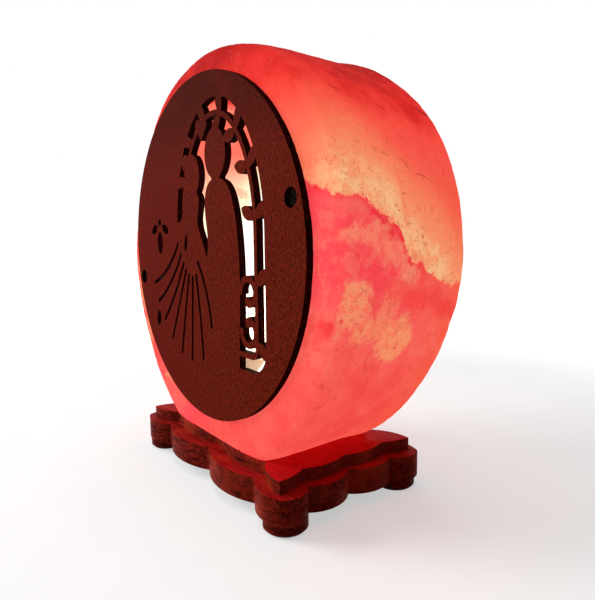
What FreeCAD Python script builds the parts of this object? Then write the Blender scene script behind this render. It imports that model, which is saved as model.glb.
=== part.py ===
"""Salt drum lamp on a scalloped wooden base, with a pierced wooden front panel.

Frame: millimetres, +Z up, origin on the table at the middle of the lamp.
The pierced panel faces -Y, and the drum's axis runs along Y.
"""
import FreeCAD, Part
import math
import os

import Sketcher

V = FreeCAD.Vector
doc = FreeCAD.newDocument("salt_drum_lamp")

# ---------------------------------------------------------------- driving sizes
SIZES = {
    # wooden feet
    "foot_radius": 9, "foot_height": 5, "foot_edge": 1.2, "foot_x": 54.6, "foot_y": 30.6,
    # base board, lower tier: one quarter of the scalloped outline
    "lower_tier": 10.9, "low_mid_y": 34.6, "low_cusp_x": 40, "low_cusp_y": 35.1,
    "low_tip_x": 62, "low_tip_y": 37.8, "low_side_x": 59.1, "low_side_y": 23, "low_mid_x": 57.2,
    "low_front_bow": 41.2, "low_corner_bow": 19.6, "low_tip_bow": 9.8, "low_side_bow": 18.1,
    # base board, upper tier
    "upper_tier": 5.4, "top_mid_y": 29.2, "top_cusp_x": 40.5, "top_cusp_y": 30.1,
    "top_tip_x": 58.3, "top_tip_y": 35.8, "top_side_x": 54.7, "top_side_y": 22, "top_mid_x": 54.7,
    "top_front_bow": 69.2, "top_corner_bow": 22, "top_tip_bow": 28.4, "top_side_bow": 26.4,
    "lamp_hole": 19, "groove_width": 9, "groove_depth": 7, "groove_length": 40,
    # salt drum, measured from the drum's own axis
    "axis_height": 101.1, "drum_front": 32.3, "cavity_radius": 61, "cavity_depth": 48,
    "cavity_lift": 5.2, "cavity_round": 8,
    # the drum's uneven outline: twelve corners, and the bow that leads on from each
    "rock_1_x": 91.8, "rock_1_z": 0, "rock_1_bow": 81.2,
    "rock_2_x": 81.7, "rock_2_z": 46.7, "rock_2_bow": 86.2,
    "rock_3_x": 46.8, "rock_3_z": 79.8, "rock_3_bow": 101,
    "rock_4_x": 0.7, "rock_4_z": 90.9, "rock_4_bow": 84.7,
    "rock_5_x": -45, "rock_5_z": 79.2, "rock_5_bow": 92.3,
    "rock_6_x": -76, "rock_6_z": 44.3, "rock_6_bow": 101,
    "rock_7_x": -92, "rock_7_z": 0, "rock_7_bow": 83.9,
    "rock_8_x": -78, "rock_8_z": -45.5, "rock_8_bow": 97.6,
    "rock_9_x": -45, "rock_9_z": -79.2, "rock_9_bow": 82.7,
    "rock_10_x": 0.7, "rock_10_z": -92.6, "rock_10_bow": 83.2,
    "rock_11_x": 45.2, "rock_11_z": -77.1, "rock_11_bow": 114.1,
    "rock_12_x": 76.9, "rock_12_z": -44, "rock_12_bow": 95.9,
    # rings from the drum's front to its back: depth, and share of the outline
    "ring_1_depth": 0, "ring_1_share": 0.885, "ring_2_depth": 0.5, "ring_2_share": 0.935,
    "ring_3_depth": 2.1, "ring_3_share": 0.982, "ring_4_depth": 5.3, "ring_4_share": 0.993,
    "ring_5_depth": 24.3, "ring_5_share": 1, "ring_6_depth": 42.9, "ring_6_share": 0.998,
    "ring_7_depth": 57.2, "ring_7_share": 1.008, "ring_8_depth": 60.8, "ring_8_share": 0.978,
    "ring_9_depth": 64.8, "ring_9_share": 0.938, "ring_10_depth": 71.5, "ring_10_share": 0.843,
    # front panel, and the window in it measured from the panel's middle
    "panel_radius": 75, "panel_thickness": 3, "panel_hole": 2, "panel_sink": 3.6,
    "screw_circle": 69.2, "screw_angle": 16.3, "second_screw_angle": 192.3,
    "window_middle": 13, "window_spring": 8, "window_half_width": 37, "window_rise": 55,
    "window_floor": -47, "window_corner": 10,
    # fasteners: a countersunk wood screw is head radius, head depth, shank radius, length
    "panel_head": 3.4, "panel_head_depth": 1.8, "panel_shank": 1.5, "panel_screw": 19,
    "board_head": 4, "board_head_depth": 2.4, "board_shank": 2, "board_screw": 30,
    "foot_head": 2.6, "foot_head_depth": 1.5, "foot_shank": 1.3, "foot_screw": 12,
    "point_length": 3, "head_rim": 0.3, "head_recess": 0.5, "slot_width": 0.7, "slot_depth": 0.8,
    "plug_radius": 2.6, "plug_length": 18, "board_plug_radius": 3.2, "board_plug_length": 17,
    "ridge_pitch": 4, "ridge_rise": 0.35, "ridge_slope": 0.6, "ridge_groove": 1,
    "board_screw_x": 29, "board_screw_y": 21,
    # cord inlet
    "grommet_length": 6, "grommet_bore": 2.8, "grommet_end": 34.4, "grommet_gap": 0.1,
    # lampholder, heights above the table
    "nipple_radius": 5, "nipple_bore": 3.5, "nipple_low": 9, "nipple_top": 20,
    "nut_radius": 8.1, "nut_low": 10, "clip_low": 13, "clip_plate": 0.6, "clip_width": 8,
    "clip_foot": 15, "clip_knee": 18.4, "clip_knee_height": 31, "clip_tip": 15.8,
    "clip_tip_height": 39, "cup_low": 13.6, "cup_floor": 16, "cup_top": 27, "cup_radius": 13.5,
    "cup_wall": 1.8, "cup_base": 11, "cup_fillet": 1.2, "cup_inset": 0.6,
    "shell_radius": 14, "shell_inner": 12.2, "shell_top": 55, "shell_mouth": 9.2,
    "spigot_radius": 11.6, "spigot_low": 24, "spigot_inner": 10.2,
    "seat_height": 29, "rim_height": 1.4, "core_low": 24.5, "core_foot": 9.9, "core_flange": 11.9,
    "core_flange_top": 33, "core_tube": 10.6, "core_bore": 8.4, "core_floor": 31.5, "core_top": 50,
    "sleeve_inner": 7.25, "sleeve_wave": 0.35, "sleeve_wall": 0.3, "sleeve_low": 31.5,
    "sleeve_lip": 4.2, "sleeve_lead": 1.4, "sleeve_top": 48.4, "thread_pitch": 2.82,
    "rivet_radius": 1.2, "tongue_width": 4, "tongue_back": 3.2, "tongue_tip": 2.6,
    "tongue_rise": 1.2, "strip_thickness": 0.5, "terminal_x": 7.2, "terminal_head": 2.4,
    "terminal_low": 21, "terminal_shank": 1.4, "terminal_bite": 3, "side_rivet_x": 4.9, "side_rivet": 0.7,
    # bulb
    "tip_low": 33.4, "tip_radius": 2.3, "tip_height": 1.2, "glass_insulator": 2.6,
    "insulator_radius": 5.9, "insulator_lip": 1, "cap_lead": 0.6, "cap_crest": 6.95, "cap_root": 6.55,
    "cap_wall": 0.25, "cap_low": 37.2, "cap_top": 52,
    "neck_radius": 5.9, "neck_low": 45, "throat_radius": 7.4, "throat_height": 56,
    "bulb_radius": 13, "bulb_shoulder": 67, "bulb_top": 89, "flare_bow": 16,
    "glass_wall": 0.7, "stem_flare": 4.4, "stem_radius": 1.9, "stem_low": 46, "stem_bend": 50,
    "stem_top": 64, "lead_radius": 0.35, "lead_foot": 1, "lead_depth": 2, "lead_spread": 6.5,
    "filament_height": 74, "filament_rise": 2.4, "filament_radius": 0.45,
    # clearances, and how far a cutting tool runs past a face
    "fit_gap": 0.05, "head_gap": 0.2, "over_cut": 1,
}
sheet = doc.addObject("Spreadsheet::Sheet", "Sizes")
for row, (alias, number) in enumerate(SIZES.items(), start=1):
    sheet.set(f"A{row}", alias)
    sheet.set(f"B{row}", str(number))
    sheet.setAlias(f"B{row}", alias)
doc.recompute()


def words_of(formula):
    """Splits a sum such as 'lower_tier + 2*fit_gap' into (sign, factors) terms."""
    sign = 1
    for word in str(formula).split():
        if word in "+-":
            sign = 1 if word == "+" else -1
            continue
        yield sign, word.split("*")
        sign = 1


def size(formula):
    """The value of a sum of sheet cells and numbers."""
    return sum(sign * math.prod(sheet.get(factor) if factor in SIZES else float(factor)
                                for factor in factors)
               for sign, factors in words_of(formula))


def bound(formula):
    """The same sum as an expression that an object's property can follow."""
    return " + ".join(
        " * ".join([f"({sign})"] + [f"Sizes.{factor}" if factor in SIZES else f"({factor})"
                                    for factor in factors])
        for sign, factors in words_of(formula))


def bind(item, prop, formula, unit=" * 1 mm"):
    item.setExpression(prop, f"({bound(formula)}){unit}")


def magnitude(formula):
    """The formula with its sign taken off, for the radius of an inward arc."""
    if size(formula) > 0:
        return formula
    return " ".join(("- " if sign > 0 else "+ ") + "*".join(factors)
                    for sign, factors in words_of(formula))


# ---------------------------------------------------------------- sketch and body helpers
def origin_plane(body, role):
    return next(feature for feature in body.Origin.OriginFeatures if feature.Role == role)


def add_outline(sketch, corners):
    """Draws a closed outline whose corners and bows follow the sheet.

    A corner is (across, up) or (across, up, bow): bow is the radius of the arc that
    leads to the next corner, and a leading '-' turns the arc's bulge to the other side.
    """
    count = len(corners)
    spots = [V(size(corner[0]), size(corner[1]), 0) for corner in corners]
    ends = []
    for index, corner in enumerate(corners):
        start, end = spots[index], spots[(index + 1) % count]
        if len(corner) == 2:
            sketch.addGeometry(Part.LineSegment(start, end), False)
            ends.append((1, 2))
            continue
        radius = abs(size(corner[2]))
        outward = size(corner[2]) > 0
        chord = end - start
        sideways = V(-chord.y, chord.x, 0).normalize() * (1 if outward else -1)
        centre = (start + end) * 0.5 + sideways * math.sqrt(radius ** 2 - (chord.Length / 2) ** 2)
        # a sketch keeps its arcs anticlockwise, so an inward arc starts at the next corner
        first, last = (start, end) if outward else (end, start)
        from_angle, to_angle = (math.atan2(tip.y - centre.y, tip.x - centre.x) for tip in (first, last))
        circle = Part.Circle(centre, V(0, 0, 1), radius)
        sketch.addGeometry(Part.ArcOfCircle(circle, from_angle, to_angle), False)
        ends.append((1, 2) if outward else (2, 1))
    for index in range(count):
        following = (index + 1) % count
        sketch.addConstraint(Sketcher.Constraint("Coincident", index, ends[index][1],
                                                 following, ends[following][0]))
    for index, corner in enumerate(corners):
        for kind, formula in (("DistanceX", corner[0]), ("DistanceY", corner[1])):
            number = sketch.addConstraint(Sketcher.Constraint(kind, -1, 1, index, ends[index][0],
                                                              size(formula)))
            bind(sketch, f"Constraints[{number}]", formula)
        if len(corner) == 3:
            number = sketch.addConstraint(Sketcher.Constraint("Radius", index, abs(size(corner[2]))))
            bind(sketch, f"Constraints[{number}]", magnitude(corner[2]))


def new_sketch(body, name, role, corners):
    sketch = body.newObject("Sketcher::SketchObject", name)
    sketch.AttachmentSupport = (origin_plane(body, role), [""])
    sketch.MapMode = "FlatFace"
    add_outline(sketch, corners)
    return sketch


def turned(label, corners, role="XZ_Plane", axis="V_Axis"):
    """A turned piece: a profile of (radius, height) corners revolved about the axis."""
    body = doc.addObject("PartDesign::Body", label)
    body.Label = label
    sketch = new_sketch(body, label + "_profile", role, corners)
    turn = body.newObject("PartDesign::Revolution", label + "_turn")
    turn.Profile = sketch
    turn.ReferenceAxis = (sketch, [axis])
    turn.Angle = 360
    doc.recompute()
    return body


def cylinder(name, radius, height, at=("0", "0", "0"), turn=None):
    """A cylinder whose radius, height and place follow the sheet; turn lays it down."""
    rod = doc.addObject("Part::Cylinder", name)
    bind(rod, "Radius", radius)
    bind(rod, "Height", height)
    if turn:
        rod.Placement = FreeCAD.Placement(V(0, 0, 0), turn)
    for letter, formula in zip("xyz", at):
        bind(rod, f"Placement.Base.{letter}", formula)
    return rod


def box(name, length, width, height, at):
    """A box whose low corner is at the given place."""
    block = doc.addObject("Part::Box", name)
    for prop, formula in (("Length", length), ("Width", width), ("Height", height)):
        bind(block, prop, formula)
    for letter, formula in zip("xyz", at):
        bind(block, f"Placement.Base.{letter}", formula)
    return block


def cut(label, blank, *tools):
    """The blank with every tool cut out of it."""
    if len(tools) == 1:
        cutter = tools[0]
    else:
        cutter = doc.addObject("Part::MultiFuse", label + "_tools")
        cutter.Shapes = list(tools)
    result = doc.addObject("Part::Cut", label)
    result.Base, result.Tool = blank, cutter
    result.Label = label
    return result


def fuse(label, *pieces):
    result = doc.addObject("Part::MultiFuse", label)
    result.Shapes = list(pieces)
    result.Label = label
    return result


def group(label, blank, places):
    """One node of equal separate solids: the blank repeated at each place."""
    doc.recompute()
    copies = []
    for number, place in enumerate(places, start=1):
        copy = doc.addObject("Part::Feature", f"{label}_{number}")
        copy.Shape = blank.Shape
        copy.Placement = place.multiply(copy.Placement)
        copies.append(copy)
    result = doc.addObject("Part::Compound", label)
    result.Links = copies
    result.Label = label
    return result


def place(x, y, z, turn=None):
    return FreeCAD.Placement(V(x, y, z), turn or FreeCAD.Rotation())


LAY_BACK = FreeCAD.Rotation(V(1, 0, 0), -90)     # local +Z becomes world +Y
parts = {}
corner_signs = [(-1, -1), (1, -1), (-1, 1), (1, 1)]
board_low = "foot_height"
board_top = "foot_height + lower_tier + upper_tier"
cavity_middle = "axis_height + cavity_lift"


# ---------------------------------------------------------------- base board and feet
def tier(name, prefix, height):
    """One quarter of a scalloped tier, mirrored to the whole outline."""
    body = doc.addObject("PartDesign::Body", name)
    corners = [("0", "0"), ("0", f"-1*{prefix}_mid_y", f"{prefix}_front_bow"),
               (f"{prefix}_cusp_x", f"-1*{prefix}_cusp_y", f"{prefix}_corner_bow"),
               (f"{prefix}_tip_x", f"-1*{prefix}_tip_y", f"{prefix}_tip_bow"),
               (f"{prefix}_side_x", f"-1*{prefix}_side_y", f"{prefix}_side_bow"),
               (f"{prefix}_mid_x", "0")]
    pad = body.newObject("PartDesign::Pad", name + "_quarter")
    pad.Profile = new_sketch(body, name + "_outline", "XY_Plane", corners)
    bind(pad, "Length", height)
    doc.recompute()
    mirrors = body.newObject("PartDesign::MultiTransform", name + "_mirrors")
    mirrors.Originals = [pad]
    steps = []
    for role in ("YZ_Plane", "XZ_Plane"):
        mirror = body.newObject("PartDesign::Mirrored", f"{name}_{role[:2]}")
        mirror.MirrorPlane = (origin_plane(body, role), [""])
        steps.append(mirror)
    mirrors.Transformations = steps
    mirrors.Refine = True
    body.Tip = mirrors
    bind(body, "Placement.Base.z", board_low)
    return body


board_tiers = [tier("board_lower_tier", "low", "lower_tier"),
               tier("board_upper_tier", "top", "lower_tier + upper_tier")]
base_tools = [
    cylinder("board_lamp_hole", "lamp_hole", "lower_tier + upper_tier + over_cut", ("0", "0", board_low)),
    box("board_cord_groove", "groove_width", "groove_length", "groove_depth",
        ("-0.5*groove_width", "0", board_low)),
]
for sx, sy in corner_signs:
    at = (f"{sx}*board_screw_x", f"{sy}*board_screw_y")
    tag = f"{'r' if sx > 0 else 'l'}{'b' if sy > 0 else 'f'}"
    base_tools.append(cylinder("board_screw_hole_" + tag, "board_shank + fit_gap", "lower_tier + upper_tier",
                               at + (board_low,)))
    base_tools.append(cylinder("board_head_hole_" + tag, "board_head + head_gap",
                               "board_head_depth + head_recess", at + (board_low,)))
    base_tools.append(cylinder("foot_pilot_" + tag, "foot_shank + fit_gap",
                               "foot_screw + over_cut - foot_height",
                               (f"{sx}*foot_x", f"{sy}*foot_y", board_low)))
parts["base_board"] = cut("base_board", fuse("board_blank", *board_tiers), *base_tools)

for sx, sy in corner_signs:
    label = f"foot_{'back' if sy > 0 else 'front'}_{'right' if sx > 0 else 'left'}"
    foot = turned(label, [
        ("foot_shank + fit_gap", "head_recess + foot_head_depth"),
        ("foot_head + head_gap", "head_recess + head_rim"), ("foot_head + head_gap", "0"),
        ("foot_radius - foot_edge", "0"), ("foot_radius", "foot_edge"),
        ("foot_radius", "foot_height"), ("foot_shank + fit_gap", "foot_height")])
    bind(foot, "Placement.Base.x", f"{sx}*foot_x")
    bind(foot, "Placement.Base.y", f"{sy}*foot_y")
    parts[label] = foot


# ---------------------------------------------------------------- salt drum
# The hand-cut drum is a skin over rings of its uneven outline, from its front to its back.
ROCK_CORNERS = 12
RINGS = 10


def rock_ring(body, number):
    """The drum's outline, drawn in to the ring's share and moved to its depth."""
    share = f"ring_{number}_share"
    sketch = new_sketch(body, f"drum_ring_{number}", "XZ_Plane", [
        tuple(f"{share}*rock_{corner}_{word}" for word in ("x", "z", "bow"))
        for corner in range(1, ROCK_CORNERS + 1)])
    bind(sketch, "AttachmentOffset.Base.z", f"drum_front - ring_{number}_depth")
    return sketch


drum = doc.addObject("PartDesign::Body", "drum_blank")
drum.Label = "drum_blank"
rings = [rock_ring(drum, number) for number in range(1, RINGS + 1)]
skin = drum.newObject("PartDesign::AdditiveLoft", "drum_skin")
skin.Profile, skin.Sections, skin.Ruled = rings[0], rings[1:], True
doc.recompute()
bind(drum, "Placement.Base.z", "axis_height")
cavity = turned("cavity_tool", [
    ("-1*drum_front - over_cut", "0"), ("-1*drum_front - over_cut", "cavity_radius"),
    ("-1*drum_front + cavity_depth - cavity_round", "cavity_radius", "-1*cavity_round"),
    ("-1*drum_front + cavity_depth", "cavity_radius - cavity_round"),
    ("-1*drum_front + cavity_depth", "0")], role="YZ_Plane", axis="H_Axis")
bind(cavity, "Placement.Base.z", cavity_middle)
flat = box("drum_flat_tool", "4*rock_1_x", "4*rock_1_x", board_top,
           ("-2*rock_1_x", "-2*rock_1_x", "0"))
salt_tools = [flat, cavity,
              cylinder("drum_lamp_hole", "lamp_hole", "axis_height - cavity_radius", ("0", "0", board_top))]
for sx, sy in corner_signs:
    tag = f"{'r' if sx > 0 else 'l'}{'b' if sy > 0 else 'f'}"
    salt_tools.append(cylinder("drum_plug_hole_" + tag, "board_plug_radius", "board_plug_length + over_cut",
                               (f"{sx}*board_screw_x", f"{sy}*board_screw_y", board_top)))


def screw_bore(name, angle, radius, start, length):
    """A bore round the panel's screw at that angle, from the given depth back."""
    bore = cylinder(name, radius, length, turn=LAY_BACK)
    bore.setExpression("Placement.Base.x", f"Sizes.screw_circle * cos(Sizes.{angle} * 1 deg) * 1 mm")
    bore.setExpression("Placement.Base.z", "(Sizes.axis_height + Sizes.cavity_lift"
                       f" + Sizes.screw_circle * sin(Sizes.{angle} * 1 deg)) * 1 mm")
    bind(bore, "Placement.Base.y", start)
    return bore


panel_screw_angles = ("screw_angle", "second_screw_angle")
for angle in panel_screw_angles:
    salt_tools.append(screw_bore("drum_hole_" + angle, angle, "plug_radius", "-1*drum_front",
                                 "plug_length + over_cut"))
parts["salt_body"] = cut("salt_body", drum, *salt_tools)


# ---------------------------------------------------------------- fasteners
def wood_screw(name, prefix):
    """A cross-slotted countersunk wood screw, head at z = 0 and point down along +Z."""
    head, depth, shank, length = (prefix + part for part in ("_head", "_head_depth", "_shank", "_screw"))
    blank = turned(name, [("0", "0"), (head, "0"), (head, "head_rim"), (shank, depth),
                          (shank, f"{length} - point_length"), ("0", length)])
    slot = box(name + "_slot", f"1.1*{head}", "slot_width", "slot_depth",
               (f"-0.55*{head}", "-0.5*slot_width", "0"))
    cross = box(name + "_cross", "slot_width", f"1.1*{head}", "slot_depth",
                ("-0.5*slot_width", f"-0.55*{head}", "0"))
    return cut(name + "_blank", blank, slot, cross)


def wall_plug(name, outer, length, shank):
    """A nylon plug, mouth at z = 0, with three grip ridges and a bore for the screw."""
    waist = f"{outer} - ridge_rise"
    profile = [(f"{shank} + fit_gap", "0"), (outer, "0")]
    for ridge in (1, 2, 3):
        slope = f"{ridge}*ridge_pitch + ridge_slope"
        profile += [(outer, f"{ridge}*ridge_pitch"), (waist, slope), (waist, slope + " + ridge_groove"),
                    (outer, slope + " + ridge_groove + ridge_slope")]
    profile += [(waist, length), (f"{shank} + fit_gap", length)]
    return turned(name, profile)


def at_panel_screws(depth):
    """The places of the panel's screws, laid back, at a depth along Y."""
    reach, middle = size("screw_circle"), size(cavity_middle)
    turns = [math.radians(size(angle)) for angle in panel_screw_angles]
    return [place(reach * math.cos(turn), depth, middle + reach * math.sin(turn), LAY_BACK)
            for turn in turns]


panel_face = -size("drum_front + panel_thickness")
parts["panel_screws"] = group("panel_screws", wood_screw("panel_screw_turned", "panel"),
                              at_panel_screws(panel_face + size("head_recess")))
parts["panel_plugs"] = group("panel_plugs", wall_plug("panel_plug_turned", "plug_radius - 2*fit_gap",
                                                     "plug_length", "panel_shank"),
                             at_panel_screws(-size("drum_front")))
under = [place(sx * size("board_screw_x"), sy * size("board_screw_y"), size("foot_height + head_recess"))
         for sx, sy in corner_signs]
above = [place(sx * size("board_screw_x"), sy * size("board_screw_y"), size(board_top))
         for sx, sy in corner_signs]
below = [place(sx * size("foot_x"), sy * size("foot_y"), size("head_recess")) for sx, sy in corner_signs]
parts["board_screws"] = group("board_screws", wood_screw("board_screw_turned", "board"), under)
parts["board_plugs"] = group("board_plugs", wall_plug("board_plug_turned", "board_plug_radius - 2*fit_gap",
                                                     "board_plug_length", "board_shank"), above)
parts["foot_screws"] = group("foot_screws", wood_screw("foot_screw_turned", "foot"), below)

grommet_block = box("grommet_block", "groove_width - 2*grommet_gap", "grommet_length",
                    "groove_depth - grommet_gap",
                    ("-0.5*groove_width + grommet_gap", "grommet_end - grommet_length", board_low))
grommet_bore = cylinder("grommet_bore", "grommet_bore", "grommet_length + 2*over_cut",
                        ("0", "grommet_end - grommet_length - over_cut", "foot_height + 0.5*groove_depth"),
                        LAY_BACK)
parts["cable_grommet"] = cut("cable_grommet", grommet_block, grommet_bore)


# ---------------------------------------------------------------- lampholder
parts["clip_nipple"] = turned("clip_nipple", [
    ("nipple_bore", "nipple_low"), ("nipple_radius - fit_gap", "nipple_low"),
    ("nipple_radius - fit_gap", "nipple_top"), ("nipple_bore", "nipple_top")])

hexagon = doc.addObject("Part::Prism", "nut_hexagon")
hexagon.Polygon = 6
bind(hexagon, "Circumradius", "nut_radius")
bind(hexagon, "Height", "clip_low - nut_low")
bind(hexagon, "Placement.Base.z", "nut_low")
parts["clip_nut"] = cut("clip_nut", hexagon, cylinder(
    "nut_bore", "nipple_radius", "clip_low - nut_low + 2*over_cut", ("0", "0", "nut_low - over_cut")))

clip = doc.addObject("PartDesign::Body", "clip_blank")
clip_sketch = new_sketch(clip, "clip_profile", "XZ_Plane", [
    ("-1*clip_foot", "clip_low"), ("clip_foot", "clip_low"), ("clip_knee", "clip_knee_height"),
    ("clip_tip", "clip_tip_height"), ("clip_tip - clip_plate", "clip_tip_height"),
    ("clip_knee - clip_plate", "clip_knee_height"), ("clip_foot - clip_plate", "clip_low + clip_plate"),
    ("-1*clip_foot + clip_plate", "clip_low + clip_plate"),
    ("-1*clip_knee + clip_plate", "clip_knee_height"),
    ("-1*clip_tip + clip_plate", "clip_tip_height"), ("-1*clip_tip", "clip_tip_height"),
    ("-1*clip_knee", "clip_knee_height")])
clip_pad = clip.newObject("PartDesign::Pad", "clip_pad")
clip_pad.Profile = clip_sketch
clip_pad.Midplane = True
bind(clip_pad, "Length", "clip_width")
doc.recompute()
clip_washer = cylinder("clip_washer", "cup_base", "clip_plate", ("0", "0", "clip_low"))
parts["spring_clip"] = cut("spring_clip", fuse("clip_whole", clip, clip_washer),
                           cylinder("clip_hole", "nipple_radius + fit_gap", "clip_plate + 2*over_cut",
                                    ("0", "0", "clip_low - over_cut")))

parts["holder_cup"] = turned("holder_cup", [
    ("nipple_radius", "cup_low"), ("cup_base", "cup_low"), ("cup_radius", "cup_floor"),
    ("cup_radius", "cup_top"), ("cup_radius - cup_wall", "cup_top"),
    ("cup_radius - cup_wall", "cup_floor + cup_fillet"), ("cup_base - cup_inset", "cup_floor"),
    ("nipple_radius", "cup_floor")])

parts["holder_shell"] = turned("holder_shell", [
    ("spigot_inner", "spigot_low"), ("spigot_radius", "spigot_low"), ("spigot_radius", "cup_top"),
    ("shell_radius", "cup_top"), ("shell_radius", "shell_top - rim_height"),
    ("shell_radius - rim_height", "shell_top"), ("shell_mouth", "shell_top"),
    ("shell_mouth", "shell_top - rim_height"), ("shell_inner", "shell_top - rim_height"),
    ("shell_inner", "seat_height"), ("spigot_inner", "seat_height")])

core = turned("core_blank", [
    ("rivet_radius + fit_gap", "core_low"), ("core_foot", "core_low"), ("core_foot", "seat_height"),
    ("core_flange", "seat_height"), ("core_flange", "core_flange_top"), ("core_tube", "core_flange_top"),
    ("core_tube", "core_top"), ("core_bore", "core_top"), ("core_bore", "core_floor"),
    ("rivet_radius + fit_gap", "core_floor")])
core_tools = [cylinder("core_side_rivet_hole", "side_rivet + fit_gap", "core_floor - core_low + 2*over_cut",
                       ("side_rivet_x", "0", "core_low - over_cut"))]
for side in (-1, 1):
    core_tools.append(cylinder(f"core_terminal_hole_{'r' if side > 0 else 'l'}", "terminal_shank + fit_gap",
                               "terminal_bite + 1.5*over_cut",
                               (f"{side}*terminal_x", "0", "core_low - over_cut")))
parts["holder_core"] = cut("holder_core", core, *core_tools)

# the threaded sleeve is drawn as a wave of rings, one to a thread
sleeve_out, sleeve_in = [], []
sleeve_turns = int(size("sleeve_top - sleeve_low - sleeve_lead") / size("thread_pitch"))
for ring in range(sleeve_turns + 1):
    low = f"sleeve_low + sleeve_lead + {ring}*thread_pitch"
    for lift, wave in (("", ""), (" + 0.5*thread_pitch", " + sleeve_wave")):
        if ring == sleeve_turns and lift:
            continue
        sleeve_in.append(("sleeve_inner" + wave, low + lift))
        sleeve_out.append(("sleeve_inner + sleeve_wall" + wave, low + lift))
parts["thread_sleeve"] = turned("thread_sleeve", [
    ("sleeve_lip", "sleeve_low"), ("sleeve_inner + sleeve_wall", "sleeve_low")] + sleeve_out
    + [("sleeve_inner + sleeve_wall", "sleeve_top"), ("sleeve_inner", "sleeve_top")]
    + sleeve_in[::-1] + [("sleeve_inner", "sleeve_low + sleeve_wall"),
                         ("sleeve_lip", "sleeve_low + sleeve_wall")])

tongue = doc.addObject("PartDesign::Body", "tongue_blank")
tongue_sketch = new_sketch(tongue, "tongue_profile", "XZ_Plane", [
    ("-1*tongue_back", "core_floor"), ("rivet_radius", "core_floor"),
    ("tongue_tip", "core_floor + tongue_rise"),
    ("tongue_tip", "core_floor + tongue_rise + strip_thickness"),
    ("rivet_radius", "core_floor + strip_thickness"), ("-1*tongue_back", "core_floor + strip_thickness")])
tongue_pad = tongue.newObject("PartDesign::Pad", "tongue_pad")
tongue_pad.Profile = tongue_sketch
tongue_pad.Midplane = True
bind(tongue_pad, "Length", "tongue_width")
doc.recompute()
centre_tail = box("centre_tail", "terminal_x + rivet_radius + terminal_head", "tongue_width",
                  "strip_thickness", ("-1*terminal_x - terminal_head", "-0.5*tongue_width",
                                      "core_low - strip_thickness"))
centre_rivet = cylinder("centre_rivet", "rivet_radius", "core_floor - core_low", ("0", "0", "core_low"))
tail_hole_low = "core_low - strip_thickness - over_cut"
centre_hole = cylinder("centre_tail_hole", "terminal_shank + fit_gap", "strip_thickness + 2*over_cut",
                       ("-1*terminal_x", "0", tail_hole_low))
parts["centre_contact"] = cut("centre_contact", fuse("centre_blank", tongue, centre_tail, centre_rivet),
                              centre_hole)

side_tail = box("side_tail", "terminal_x + terminal_head - side_rivet_x + 2*side_rivet", "tongue_width",
                "strip_thickness", ("side_rivet_x - 2*side_rivet", "-0.5*tongue_width",
                                    "core_low - strip_thickness"))
side_rivet = cylinder("side_rivet_rod", "side_rivet", "sleeve_low - core_low",
                      ("side_rivet_x", "0", "core_low"))
side_hole = cylinder("side_tail_hole", "terminal_shank + fit_gap", "strip_thickness + 2*over_cut",
                     ("terminal_x", "0", tail_hole_low))
parts["side_contact"] = cut("side_contact", fuse("side_blank", side_tail, side_rivet), side_hole)

terminal = turned("terminal_turned", [
    ("0", "terminal_low"), ("terminal_head", "terminal_low"),
    ("terminal_head", "core_low - strip_thickness"),
    ("terminal_shank", "core_low - strip_thickness"), ("terminal_shank", "core_low + terminal_bite"),
    ("0", "core_low + terminal_bite")])
terminal_slot = box("terminal_slot", "2*terminal_head", "slot_width", "slot_depth",
                    ("-1*terminal_head", "-0.5*slot_width", "terminal_low"))
parts["terminal_screws"] = group("terminal_screws", cut("terminal_blank", terminal, terminal_slot),
                                 [place(side * size("terminal_x"), 0, 0) for side in (-1, 1)])


# ---------------------------------------------------------------- bulb
parts["bulb_contact"] = turned("bulb_contact", [
    ("0", "tip_low"), ("0.5*tip_radius", "tip_low"), ("tip_radius", "tip_low + 0.6*tip_height"),
    ("tip_radius", "tip_low + tip_height"), ("0", "tip_low + tip_height")])
parts["bulb_insulator"] = turned("bulb_insulator", [
    ("0", "tip_low + tip_height"), ("glass_insulator", "tip_low + tip_height"),
    ("insulator_radius", "cap_low"), ("insulator_radius", "cap_low + insulator_lip"),
    ("0", "cap_low + insulator_lip")])

cap_out, cap_in = [], []
cap_turns = 4
for ring in range(cap_turns + 1):
    low = f"cap_low + cap_lead + {ring}*thread_pitch"
    for lift, radius in (("", "cap_root"), (" + 0.5*thread_pitch", "cap_crest")):
        if ring == cap_turns and lift:
            continue
        cap_out.append((radius, low + lift))
        cap_in.append((radius + " - cap_wall", low + lift))
parts["bulb_cap"] = turned("bulb_cap", [
    ("insulator_radius + fit_gap", "cap_low"), ("cap_root", "cap_low")] + cap_out
    + [("cap_root", "cap_top"), ("cap_root - cap_wall", "cap_top")] + cap_in[::-1]
    + [("cap_root - cap_wall", "cap_low + cap_wall"), ("insulator_radius + fit_gap", "cap_low + cap_wall")])

parts["bulb_glass"] = turned("bulb_glass", [
    ("neck_radius - glass_wall", "neck_low"), ("neck_radius", "neck_low"), ("neck_radius", "cap_top"),
    ("throat_radius", "throat_height", "-1*flare_bow"), ("bulb_radius", "bulb_shoulder"),
    ("bulb_radius", "bulb_top - bulb_radius", "bulb_radius"), ("0", "bulb_top"),
    ("0", "bulb_top - glass_wall", "-1*bulb_radius + glass_wall"),
    ("bulb_radius - glass_wall", "bulb_top - bulb_radius"),
    ("bulb_radius - glass_wall", "bulb_shoulder", "flare_bow + glass_wall"),
    ("throat_radius - glass_wall", "throat_height"), ("neck_radius - glass_wall", "cap_top")])
parts["bulb_stem"] = turned("bulb_stem", [
    ("0", "stem_low"), ("stem_flare", "stem_low"), ("stem_radius", "stem_bend"),
    ("stem_radius", "stem_top"), ("0", "stem_top")])

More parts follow.
